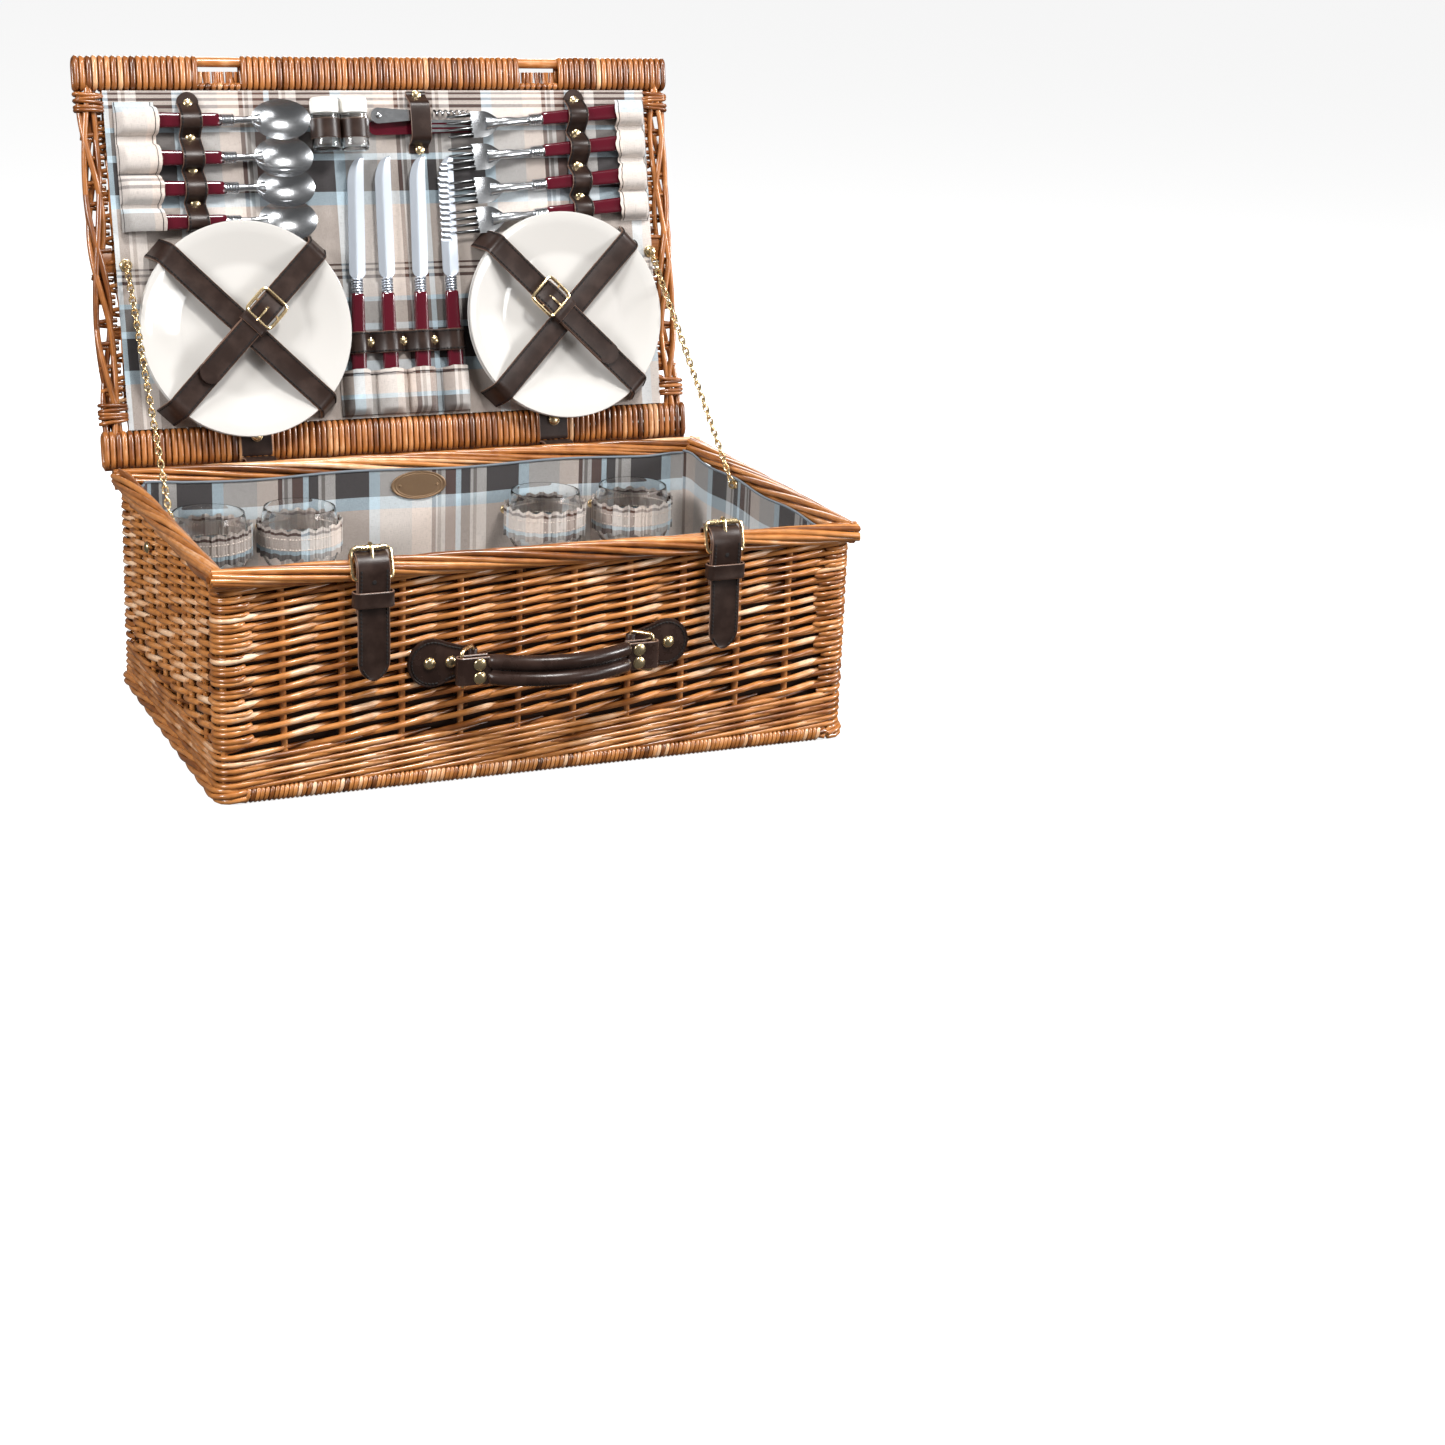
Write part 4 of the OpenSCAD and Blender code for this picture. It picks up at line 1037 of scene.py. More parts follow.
def skin(build, place, top, thick):
    """A thin closed sheet of metal from a grid of (along, across, n) points, "thick" deep."""
    rows, cols = top.shape[:2]
    low = top.copy()
    low[..., 2] -= thick
    verts = np.concatenate([place(top).reshape(-1, 3), place(low).reshape(-1, 3)])
    m = rows * cols
    face = grid_faces(rows, cols)
    rim = list(range(cols)) + [r * cols + cols - 1 for r in range(1, rows)]
    rim += [(rows - 1) * cols + c for c in range(cols - 2, -1, -1)]
    rim += [r * cols for r in range(rows - 2, 0, -1)]
    walls = [[a, b, b + m, a + m] for a, b in zip(rim, rim[1:] + rim[:1])]
    build.add(verts, np.concatenate([face[:, ::-1], face + m, np.array(walls)]))


def neck(build, place, points, widths):
    """The slim part between a ferrule and a bowl or a fork's head."""
    path = smooth_path(points, 22)
    tube(build, place(path), 1.0, 14, flat=0.55, up=OUT_OF_LID,
         scale=np.interp(np.linspace(0, 1, 22), np.linspace(0, 1, len(widths)), widths))


for v in SPOONS:
    place = lay(0, v, 0)
    grip(handles["spoon_handles"], place, -236, -154.8)
    ferrule(heads["spoons"], place, -154.5, 1)
    rail = [(-143, 0), (-135, 0.8), (-126, 1.6), (-118, 0)]
    neck(heads["spoons"], place, [[x, 0, HANDLE_N + n] for x, n in rail], [3.6, 2.9, 3.4, 5.5])
    t = -np.cos(np.linspace(0.02, math.pi - 0.02, 40))
    cross = -np.cos(np.linspace(0, math.pi, 25))
    bowl_x = np.broadcast_to(26.5 * t[:, None], (40, 25))
    bowl_y = 18.2 * np.sqrt(1 - t**2)[:, None] ** 0.92 * (1 + 0.03 * t[:, None]) * cross
    r = np.sqrt(np.clip(t[:, None] ** 2 + (1 - t[:, None] ** 2) * cross**2, 0, 1))
    depth = -8.5 * (1 - r**2)
    tilt = math.radians(-9)
    top = np.stack([-99.5 + bowl_x, bowl_y * math.cos(tilt) - depth * math.sin(tilt),
                    HANDLE_N + 3.6 + depth * math.cos(tilt) + bowl_y * math.sin(tilt)], -1)
    skin(heads["spoons"], place, top, 0.9)
for v in FORKS:
    place = lay(183, v, 4.7)
    grip(handles["fork_handles"], place, 60, -34.8)
    ferrule(heads["forks"], place, -35.2, -1)
    rail = [(-47, 0), (-58, 1.4), (-72, 2.6), (-84, 2.6), (-90, 2.0)]
    neck(heads["forks"], place, [[x, 0, HANDLE_N + n] for x, n in rail], [3.6, 3.2, 4.4, 4.2, 5.5])
    t = np.linspace(0, 1, 18)
    half = 3.2 + 8.6 * np.sin(np.clip(t * 1.8, 0, 1) * math.pi / 2) ** 0.9
    x = -79 - 26 * t
    y = np.linspace(-1, 1, 17)
    top = np.stack([np.broadcast_to(x[:, None], (18, 17)), half[:, None] * y,
                    HANDLE_N + 3.4 - 2.2 * np.sin(t * 2.6)[:, None] + 0.9 * y**2], -1)
    skin(heads["forks"], place, top, 1.1)
    for tine in (-1.5, -0.5, 0.5, 1.5):
        t = np.linspace(0, 1, 14)
        n = HANDLE_N + 2.4 + 1.6 * t - 1.2 * np.sin(t * math.pi) + 0.9 * (tine / 1.5) ** 2 * (1 - t)
        path = np.stack([-104.2 - 24.5 * t, np.full(14, tine * 6.1) * (1 - 0.03 * t), n], -1)
        # the tines are toned 0.02, which the steel paints almost black: a painted dark reflection
        tube(heads["forks"], place(path), 1.75, 8, 0.02, flat=0.42, up=OUT_OF_LID,
             scale=np.concatenate([[1.25, 1.1], np.linspace(1.0, 0.62, 11), [0.3]]))
for number, (x, tilt) in enumerate(KNIVES):
    place = lay(x, 45, 90 - tilt)
    grip(handles["knife_handles"], place, -6, 94.8, 16.0, 12.4)
    ferrule(heads["knives"], place, 95.2, 1)
    t = np.concatenate([np.linspace(0, 0.92, 116), np.linspace(0.93, 1, 14)])
    along = BLADE_FOOT + BLADE_LEN * t
    to_tip = np.clip((t - 0.78) / 0.22, 0, 1)
    back = -7.4 + 14.6 * (1 - np.sqrt(1 - to_tip**2))    # the blade's spine rounds over to the tip
    heel = 4.4 * np.clip(1 - t / 0.06, 0, 1) ** 2
    edge = 8.0 - heel
    back = np.minimum(back + heel, edge - 0.2)
    teeth = np.sin(t * BLADE_LEN * 2 * math.pi / TOOTH)  # only the bread knife has them
    if number == 3:
        back = back + np.where((t > 0.3) & (t < 0.9), 1.1 * (1 + teeth), 0)
    y = np.linspace(0, 1, 15)
    across = back[:, None] * (1 - y) + edge[:, None] * y
    n = HANDLE_N + 1.2 - 1.0 * np.clip((y - 0.45) / 0.55, 0, 1)[None, :] * np.ones((130, 1))
    if number == 3:
        ground = (teeth * ((t > 0.3) & (t < 0.93)))[:, None]
        n = n + 0.7 * ground * (np.clip((0.62 - y) / 0.1, 0, 1) * np.clip(y / 0.06, 0, 1))[None, :]
    top = np.stack([np.broadcast_to(along[:, None], (130, 15)), -across, n], -1)
    skin(heads["knives"], place, top, 1.0)
for name, build in handles.items():
    put(build, name, BURGUNDY, "lid", 30)
for name, build in heads.items():
    put(build, name, BLADE if name == "knives" else STEEL, "lid", 50)

# ---------------- leather strips over the cutlery, with their rivets
strips, rivets = Build(), Build()
STRIP_W, STRIP_T = 19.5, 1.6
STRIP_SIDE = np.cross(OUT_OF_LID, ALONG_LID)


def strip(along_of, rivets_at, over, low, high):
    """A strip that dips to the lining at each rivet and loops over each handle. along_of() places it."""
    keys = sorted([(r, FIT_N + 0.4) for r in rivets_at] + [(o - 4.5, HANDLE_N + 5.4) for o in over]
                  + [(o + 4.5, HANDLE_N + 5.4) for o in over] + [(low, FIT_N + 1.0), (high, FIT_N + 0.4)])
    path = along_rail([[a, 0, n] for a, n in keys], 1.3)
    place = along_of(path[:, 0], path[:, 2])
    ribbon(strips, place, OUT_OF_LID, STRIP_W, STRIP_T)
    for edge in (-8.0, 8.0):
        stitches(thread, place, OUT_OF_LID, edge, 3.0, 1.8, 1.55)
    for r in rivets_at:
        centre = along_of(np.array([r]), np.array([FIT_N + 2.0]))[0]
        dome(rivets, centre, OUT_OF_LID, 4.3, 2.2)


for x, low, high, rivets_at, over in ((-180.5, 199.5, 310, [309, 280, 251.5, 223], SPOONS),
                                      (183, 203.5, 312, [311, 282, 252, 224], [FORKS[0] + 0.2] + FORKS[1:])):
    strip(lambda a, n: lid_point(x, a, n), rivets_at, over, low, high)
    rounded_end(strips, lid_point(x, high - 0.2, FIT_N + 0.4), STRIP_SIDE, ALONG_LID, STRIP_W / 2, STRIP_T)
strip(lambda a, n: lid_point(a, 95.5, n), [-29, 2, 31.5], [-47 + 5, -14.6 + 2.5, 18.3, 49.2], -52.5, 60)
put(strips, "cutlery_strips", LEATHER, "lid", 35)
put(rivets, "strip_rivets", BRASS, "lid", 35)


# ---------------- cloth pockets that hold the handles' butts
def pocket(a0, a1, b0, b1, centres, mouth_high, to_lid, seed, width):
    """A gathered pocket: a runs to its mouth, b along it, and each centre is a handle's place in b."""
    na, nb = 34, 120
    a, b = np.meshgrid(np.linspace(0, 1, na), np.linspace(b0, b1, nb), indexing="ij")
    lump = np.zeros_like(b)
    for c in centres:
        lump = np.maximum(lump, np.clip(1 - (np.abs(b - c) / width) ** 2.4, 0, 1))
    n = LINING_N + 0.5 + (HANDLE_N + 6.6 - LINING_N) * np.sqrt(lump) * np.clip(a * 6, 0, 1) ** 0.5
    n = n + (0.9 * rumple(a * (a1 - a0), b * 1.0, 22, seed) + 0.5) * np.clip(a * 4, 0, 1)
    ruffle = 1.6 * lump - 0.8 + 0.9 * rumple(b, b, 9, seed + 50)
    reach = a0 + (a1 - a0) * a + np.sign(a1 - a0) * ruffle * a**4 * mouth_high
    points = to_lid(reach, b, np.maximum(n, LINING_N + 0.35))
    flat_w = abs(a1 - a0) / 1000
    flat = (round(flat_w * 1.15, 3), round(grid_area(points) / (flat_w * 1.15), 3))
    return points, np.stack([reach, b], -1), flat


pockets, total = Build(), 0.0
for data in (
        (-246, -209.5, 199, 311, SPOONS, 1.0, lid_point, 21, 12.5),
        (252, 221.5, 200, 311, [v + 3.2 for v in FORKS], 2.8, lid_point, 22, 12.5),
        (29, 71, -60, 62, [x + 0.4 for x, _ in KNIVES], 1.0, lambda r, b, n: lid_point(b, r, n), 23, 13.0)):
    points, uv, flat = pocket(*data)
    if data[0] == 29:
        uv = uv[..., ::-1] + np.array([0, 88.0])
    else:                                        # cut from the pale part of the check
        uv = np.stack([np.abs(uv[..., 0] - data[0]) - 37, uv[..., 1] * (1 if data[0] < 0 else 0.5) + 70], -1)
    pockets.add(points, grid_faces(*points.shape[:2]), 0.5, uv.reshape(-1, 2))
    total += flat[0] * flat[1]
    for row in (-4, 1):                          # the seams at its mouth and at its foot
        tube(thread, points[row] + OUT_OF_LID * 0.15, 0.3, 4)
piece = put(pockets, "cutlery_pockets", CLOTH, "lid", 60)
put(thread, "stitching", THREAD, "lid", own_node=False)


# ---------------- closing straps
def belt(build, path, across, w, t, wide=None):
    """A strap that bends about "across": the path is its underside. "wide" narrows it along its length."""
    path = np.asarray(path, float)
    rise = np.cross(np.broadcast_to(across, path.shape), unit(np.gradient(path, axis=0)))
    sweep(build, path, strap_profile(w, t), up=rise, wide=wide, round_tone=STRAP_TONES)
    return path, rise


def tip_width(count, step, length):
    """How a strap narrows to a rounded point: 1 along it, then down to the tip."""
    left = (count - 1 - np.arange(count)) * step
    t = np.clip(left / length, 0, 1)
    return np.clip((1 - (1 - t) ** 2.3) ** 0.62, 0.14, 1)


X_BACK = np.array([-1.0, 0, 0])
TIP_LEN, HALF_W = 17, 13                         # length of a strap's rounded tip, and its half width there
frames_brass, hole_shadows = Build(), Build()
for side, x in (("left", -STRAP_X), ("right", STRAP_X)):
    loops, sewing = Build(), Build()
    under = along_rail([[x, -157.2, 184], [x, -157.0, 190], [x, -158.5, 193.6], [x, -166, 194.2],
                        [x, -173.5, 192.6], [x, -177.2, 187], [x, -177.0, 176], [x, -176.5, 160],
                        [x, -176.4, 151]], 1.8)
    belt(loops, under, X_BACK, 27, 2.0)
    over = along_rail([[x, -160, 196.6], [x, -167, 197.2], [x, -174.6, 195.2], [x, -179.6, 188.5],
                       [x, -180.0, 178], [x, -179.0, 166], [x, -178.7, 158], [x, -178.7, 150],
                       [x, -179.2, 140], [x, -179.6, 120], [x, -178.9, 96]], 1.6)
    step = np.linalg.norm(over[1] - over[0])
    width = tip_width(len(over), step, TIP_LEN)
    path, rise = belt(loops, over, X_BACK, 26.2, 2.2, wide=width)
    height = path[:, 2]
    level = (height < 188) & (height > 107)
    for edge in (-10.4, 10.4):
        stitches(sewing, path[level], rise[level], edge, 3.1, 2.0, 2.1)
    tail = path[height < 108.5]
    inset = np.clip(width[height < 108.5] * HALF_W - 2.7, 0.4, 10.4)
    for sign in (-1, 1):
        edge_line = tail.copy()
        edge_line[:, 0] += sign * inset
        stitches(sewing, edge_line[:-1], (0, -1, 0), 0, 3.0, 1.9, 2.2)
    strap = loops.finish("closing_strap_" + side, LEATHER, 35)
    bend = ("basket", "tail_" + side, (x * MM, -0.179, 0.156), (x * MM, -0.179, 0.145))
    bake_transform(strap)
    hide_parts("strap_tail_" + side, *(["closure_loops"] if side == "left" else []))
    seam = sewing.finish("closing_seam_" + side, THREAD, 60)
    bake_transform(seam)
    up = unit(np.array([0, 8.0, 25.0]))
    out = np.array([0, -up[2], up[1]])
    middle = np.array([x, -174.3, 189.8])
    buckle(frames_brass, middle, [1, 0, 0], up, out, 35.5, 28, 1.6, pinned=False)
    roller = middle + up * 12.4
    tube(frames_brass, roller + np.array([[-12.5, 0, 0], [12.5, 0, 0]]), 2.3, 12)
    prong = along_rail(roller + np.array([[0, 2.8, -0.6], [0, 1.2, 2.9], [0, -2.4, 2.6], [0, -4.6, -2],
                                          [0, -6.4, -7], [0, -8.2, -12]]), 1.0)
    tube(frames_brass, prong, 1.5, 8, scale=np.linspace(1.1, 0.75, len(prong)))
    # a dark disc on the strap's tail: painted shade standing for a punched hole
    dome(hole_shadows, [x, -182.0, 176.5], [0, -1, 0], 1.7, 0.4)
put(frames_brass, "closure_buckles", BRASS, "basket", 35)
put(hole_shadows, "strap_hole_shadows", THREAD, "basket", 35, own_node=False)

keepers = Build()
for x in (-STRAP_X, STRAP_X):
    xy, _ = round_rect(15.2, 4.6, 3.6, 1.3)
    loop = np.column_stack([x + xy[:, 0], -178.7 + xy[:, 1], np.full(len(xy), 156.4)])
    outward = np.cross(unit(np.roll(loop, -1, 0) - np.roll(loop, 1, 0)), [0, 0, 1.0])
    sweep(keepers, loop + np.array([0, 0, 6.2]), strap_profile(12.5, 1.8), up=outward, closed=True,
          round_tone=STRAP_TONES)
put(keepers, "closure_keepers", LEATHER, "basket", 35)

# ---------------- hinge straps
lid_straps, rim_thread, studs = Build(), Build(), Build()
for side, x in (("left", -HINGE_X), ("right", HINGE_X)):
    wrap = [(24, 0.5), (14, 0.7), (4, 0.7), (0.2, 0.3), (-0.9, -1.4), (-1.0, -9), (-0.9, -16.6),
            (0.4, -18.3), (6, -18.6), (24, -18.4)]
    path = along_rail([lid_point(x, v, n) for v, n in wrap], 1.5)
    path, rise = belt(lid_straps, path, -X_BACK, STRAP_W, 1.9)
    for edge in (-11.2, 11.2):
        stitches(rim_thread, path[:14], rise[:14], edge, 3.1, 2.0, 1.85)
    for n, out in ((2.3, OUT_OF_LID), (-20.2, -OUT_OF_LID)):
        dome(studs, lid_point(x, 17, n), out, 5.2, 2.4)
    bend = Build()
    path = along_rail([[x, 177.3, 151], [x, 177.4, 165], [x, 177.4, 180], [x, 178.3, 186], [x, 182.5, 190.2],
                       [x, 189.5, 190.9], lid_point(x, -1.6, -2.0)], 1.4)
    belt(bend, path, X_BACK, STRAP_W, 2.0)
    piece = bend.finish("hinge_strap_" + side, LEATHER, 35)
    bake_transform(piece)
    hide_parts(*(["hinge_rim_straps"] if side == "left" else []))
put(lid_straps, "hinge_lid_straps", LEATHER, "lid", 35)
put(rim_thread, "hinge_stitching", THREAD, "lid", 60, own_node=False)
put(studs, "hinge_studs", BRASS, "lid", 35)

# ---------------- the handle
PIVOT, RING_LEN, RING_Y = 68.0, 20.0, -174.2
RING_TURN = math.radians(45)                     # how far the rings stand out from the wall
BAR_X, BAR_Y = PIVOT + RING_LEN * math.cos(RING_TURN), RING_Y - RING_LEN * math.sin(RING_TURN)
LOOP_END = BAR_X - 22.0
TAB_Z, RING_Z, GRIP_Z = 103.0, 101.0, 100.0
tabs, tab_thread, wall_rivets, end_loops, end_rivets = Build(), Build(), Build(), Build(), Build()
for side in (-1, 1):
    a = np.linspace(-math.pi / 2 - 0.35, math.pi / 2 + 0.35, 30)
    outline = [(PIVOT + 33 + 20 * math.cos(t), TAB_Z + 20 * math.sin(t)) for t in a]
    for s in np.linspace(0, 1, 8):
        outline.append((PIVOT + 24 - 24 * s, TAB_Z + 18.0 - 7.2 * s**0.8))
    for s in np.linspace(0, 1, 8):
        outline.append((PIVOT + 24 * s, TAB_Z - 11 - 7.2 * s**1.3))
    outline = np.array(outline)
    centre = outline.mean(0)
    m = len(outline)
    rings = []
    depth = [(-169.25, 1.0), (-171.0, 1.0), (-171.7, 0.985), (-171.75, 0.93), (-171.55, 0.915), (-171.6, 0.9)]
    for y, k in depth:
        pts = centre + (outline - centre) * k
        rings.append(np.column_stack([HANDLE_X + side * pts[:, 0], np.full(m, y), pts[:, 1]]))
    verts = np.vstack(rings)
    quads = grid_faces(len(depth), m, True)
    last = end_caps(len(depth), m)[1]
    tabs.add(verts, quads if side < 0 else quads[:, ::-1], 0.5, None, [last if side < 0 else last[::-1]])
    seam = centre + (outline - centre) * 0.86
    seam = seam[seam[:, 0] > PIVOT + 4]
    seam = np.column_stack([HANDLE_X + side * seam[:, 0], np.full(len(seam), -171.75), seam[:, 1]])
    stitches(tab_thread, seam, (0, -1, 0), 0, 3.0, 1.9)
    # the fold of the tab round the ring's inner bar
    z0, z1 = 92.2, 113.8
    lathe(tabs, [(1.85, z0), (3.5, z0), (3.9, z0 + 0.5), (3.9, z1 - 0.5), (3.5, z1), (1.85, z1)], 24,
          place=lambda p: p + np.array([HANDLE_X + side * PIVOT, RING_Y, 0]))
    for x in (85, 103):
        dome(wall_rivets, [HANDLE_X + side * x, -171.7, TAB_Z], [0, -1, 0], 5.0, 3.2)
    # ring: a bent brass rectangle
    ring = Build()
    c, s = circle(60)
    across = RING_LEN / 2 * (1 + squared(c, 0.3))
    high = 15.3 * squared(s, 0.3)
    direction = np.array([side * math.cos(RING_TURN), -math.sin(RING_TURN)])
    loop = np.column_stack([HANDLE_X + side * PIVOT + direction[0] * across, RING_Y + direction[1] * across,
                            RING_Z + high])
    tube(ring, loop, 1.62, 12, closed=True)
    word = "left" if side < 0 else "right"
    put(ring, "handle_ring_" + word, BRASS, "ring_" + word, 40)
    # end loop: one strap folded round the ring's outer bar and riveted to itself
    inner = 2.9
    fold = [(LOOP_END - 1.0, inner), (BAR_X - 4, inner)]
    fold += [(BAR_X + inner * math.cos(t), inner * math.sin(t))
             for t in np.linspace(math.pi / 2, -math.pi / 2, 11)]
    fold += [(BAR_X - 4, -inner), (LOOP_END - 1.0, -inner)]
    path = np.array([[HANDLE_X + side * fx, BAR_Y - fy, GRIP_Z] for fx, fy in fold])
    belt(end_loops, smooth_path(path, 44), [0, 0, -side], 23, 2.1)
    for z in (-5.6, 5.6):
        centre = [HANDLE_X + side * (LOOP_END + 8.2), BAR_Y - inner - 2.1, GRIP_Z + z]
        dome(end_rivets, centre, [0, -1, 0], 5.2, 1.7)
put(tabs, "handle_tabs", HANDLE_LEATHER, "basket", 40)
put(tab_thread, "tab_stitching", THREAD, "basket", 60, own_node=False)
put(end_loops, "handle_end_loops", HANDLE_LEATHER, "handle", 40)
put(end_rivets, "handle_rivets", BRASS, "handle", 35)
for side in (-1, 1):
    dome(wall_rivets, [side * 273.6, 54.5, 152], [side, 0, 0], 5.2, 3.0)
put(wall_rivets, "basket_rivets", BRASS, "basket", 35)

grip_build, grip_thread = Build(), Build()
half = LOOP_END + 0.8
t = np.linspace(-1, 1, 90)
bow = 20 * (1 - t**2) ** 0.9
centre = np.column_stack([HANDLE_X + half * t, BAR_Y - bow, np.full(90, GRIP_Z)])
# two rolled tubes, joined by a stitched channel
upper = [(6.0 * math.cos(q), 6.8 + 6.0 * math.sin(q)) for q in np.linspace(-1.12, math.pi + 1.12, 26)]
lower = [(6.0 * math.cos(q), -6.8 + 6.0 * math.sin(q))
         for q in np.linspace(math.pi - 1.12, 2 * math.pi + 1.12, 26)]
section = np.array(upper + [(-0.8, 0.0)] + lower + [(0.8, 0.0)])
flatten = np.clip((1 - np.abs(t)) / 0.07, 0, 1)
outward = np.cross(unit(np.gradient(centre, axis=0)), [0, 0, 1.0])
deep = section[None, :, :1] * (0.55 + 0.45 * flatten)[:, None, None]
high = section[None, :, 1:] * (0.93 + 0.07 * flatten)[:, None, None]
verts = centre[:, None] + outward[:, None] * deep + np.array([0, 0, 1.0]) * high
m = len(section)
grip_build.add(verts, grid_faces(90, m, True), caps=end_caps(90, m))
put(grip_build, "handle_grip", HANDLE_LEATHER, "handle", 50)
seam_path = centre[6:-6] + outward[6:-6] * 0.95
stitches(grip_thread, seam_path, (0, 0, 1), 0, 3.2, 2.1)
put(grip_thread, "grip_stitching", THREAD, "handle", 60, own_node=False)

# ---------------- stay chains
LID_PIN, WALL_PIN = np.array([235.8, 357.4]), np.array([42.0, 172.0])


def chain(build, start, end, first):
    """Oval links from start to end, each turned across the one before it."""
    along = unit(end - start)
    length = np.linalg.norm(end - start)
    count = max(2, int(round(length / 6.4)))
    side = unit(np.cross(along, [1.0, 0.02, 0]))
    other = np.cross(along, side)
    c, s = circle(22)
    for k in range(count):
        centre = start + along * length * (k + 0.5) / count
        flat, thin = (side, other) if (k + first) % 2 else (other, side)
        wide = flat * math.cos(0.12) + thin * math.sin(0.12)
        loop = centre + along * (4.35 * squared(c, 0.75))[:, None] + wide * (2.45 * s)[:, None]
        tube(build, loop, 0.82, 7, closed=True)


lid_anchors, wall_anchors = Build(), Build()
for side, s in (("left", -1), ("right", 1)):
    top = np.array([-245.5 if s < 0 else 251.5, *LID_PIN])
    low = np.array([s * 256.5, WALL_PIN[0], WALL_PIN[1] + 4])
    mid = (top + low) / 2
    upper, lower = Build(), Build()
    chain(upper, mid, top - unit(top - mid) * 2.0, 0)
    chain(lower, mid, low - unit(low - mid) * 2.0, 1)
    put(upper, "chain_upper_" + side, BRASS, "chain_u" + side[0], 60)
    put(lower, "chain_lower_" + side, BRASS, "chain_l" + side[0], 60)
    for build, pin, out in ((lid_anchors, top, OUT_OF_LID), (wall_anchors, low, np.array([-s, 0, 0.0]))):
        a = full_turn(18)
        base = pin - out * 3.0 if build is lid_anchors else np.array([s * 259.6, pin[1], pin[2]])
        axis = ALONG_LID if build is lid_anchors else np.array([0, 0, 1.0])
        eye = (pin + base) / 2 + out * 0.6
        reach = np.linalg.norm(pin - base) / 2 + 2.2
        loop = eye + out * (reach * np.cos(a))[:, None] + axis * (3.4 * np.sin(a))[:, None]
        tube(build, loop, 1.05, 8, closed=True)
        dome(build, base - out * 0.6, out, 5.6 if build is lid_anchors else 4.2, 2.2)
put(lid_anchors, "lid_stay_anchors", BRASS, "lid", 40)
put(wall_anchors, "stay_anchors", BRASS, "basket", 40)

# ---------------- wine glasses in their gathered bands
GLASS_X, GLASS_Y = (-207.0, -126.0, 104.0, 190.0), 117.0
BAND_ROWS, BAND_COLS, BAND_W = 19, 361, 0.036    # a band's points up it and round it, and its width in metres
outer = [(0.001, 0.2), (22, 0.2), (32.4, 0.5), (33, 1.2), (30, 2.2), (18, 3.2), (8, 5.0), (4.4, 8.5),
         (3.6, 14), (3.4, 40), (3.5, 66), (4.6, 76), (8, 83), (14, 87.2), (21, 91.5), (27, 96.8),
         (31.4, 103.5), (34.2, 111), (35, 118), (34.9, 124), (34.4, 131), (33.2, 140), (31.4, 149.4),
         (31.1, 150.0)]
inner = [(30.3, 149.9), (30.2, 149.2), (32.0, 140), (33.2, 131), (33.6, 124), (33.6, 118), (32.7, 111),
         (29.9, 104), (25.6, 98), (19.8, 93.2), (12, 90), (0.001, 88.4)]
glass_curve = np.vstack([smooth_path([[r, 0, z] for r, z in outer], 90),
                         smooth_path([[r, 0, z] for r, z in inner], 50)])
glass_curve = [(max(r, 0.001), z) for r, _, z in glass_curve]
bands, band_rivets = Build(), Build()
for number, gx in enumerate(GLASS_X):
    build = Build()
    lathe(build, glass_curve, 72, place=lambda p: p + np.array([gx, GLASS_Y, FLOOR_Z + 0.2]))
    put(build, f"wine_glass_{number + 1}", GLASS, "basket", 60)
    folds = np.random.default_rng(40 + number)
    a = np.linspace(0, 2 * math.pi, BAND_COLS)
    wave = sum(folds.uniform(0.4, 1.0) * np.sin(a * f + folds.uniform(0, 6.3)) for f in (31, 43, 57, 72, 88))
    wave = wave / np.abs(wave).max()
    wave[-1] = wave[0]
    z = np.linspace(0, 1, BAND_ROWS)
    frill = np.abs(2 * z - 1) ** 2.2
    radius = 36.3 + 0.7 * (1 - frill[:, None]) + (1.1 + 1.2 * frill[:, None]) * (wave[None, :] * 0.8 + 0.2)
    ripple = 1.3 * frill[:, None] * np.sin(a * 19 + number)[None, :] * np.sign(z - 0.5)[:, None]
    height = 123.5 + 27 * z[:, None] + ripple + 1.2 * np.cos(a)[None, :]
    points = np.stack([gx + radius * np.cos(a), GLASS_Y + radius * np.sin(a), height], -1)
    round_band = -30 + 52 * np.sin(a + 1.4 * number)
    uv = np.stack(np.broadcast_arrays(round_band[None], (z * 33 + 279)[:, None]), -1)
    bands.add(points.reshape(-1, 3), grid_faces(BAND_ROWS, BAND_COLS), 0.5, uv.reshape(-1, 2))
    for off in (-4.6, 4.6):
        c, s = circle(120)
        ring = np.stack([gx + 36.9 * c, GLASS_Y + 36.9 * s, 137 + off + 1.2 * c], 1)
        stitches(bands, ring, (0, 0, 1), 0, 2.6, 1.7)
    for dx in (-9, 9):
        dome(band_rivets, [gx + dx * 3.0, 150.6, 138], [0, -1, 0], 4.2, 1.8)
piece = put(bands, "glass_bands", CLOTH, "basket", 80)
put(band_rivets, "band_rivets", BRASS, "basket", 35, own_node=False)

# ---------------- plaque, shakers and corkscrew
PLAQUE_X, PLAQUE_Z = -4.5, 165.0
plaque = Build()
a = full_turn(72)
rings = [(1.0, 0), (1.0, 0.9), (0.975, 1.3), (0.93, 1.3), (0.90, 0.8), (0.86, 0.75), (0.84, 1.0),
         (0.82, 1.0), (0.80, 0.75), (0.78, 0.75), (0.01, 0.75)]
verts = np.vstack([np.stack([PLAQUE_X + 26 * k * np.cos(a), np.full(72, LINING_Y - 2.1 - h),
                             PLAQUE_Z + 13 * k * np.sin(a)], 1) for k, h in rings])
plaque.add(verts, grid_faces(len(rings), 72, True))
for dx in (-17.5, 17.5):
    dome(plaque, [PLAQUE_X + dx, LINING_Y - 2.9, PLAQUE_Z], [0, -1, 0], 1.3, 0.7)
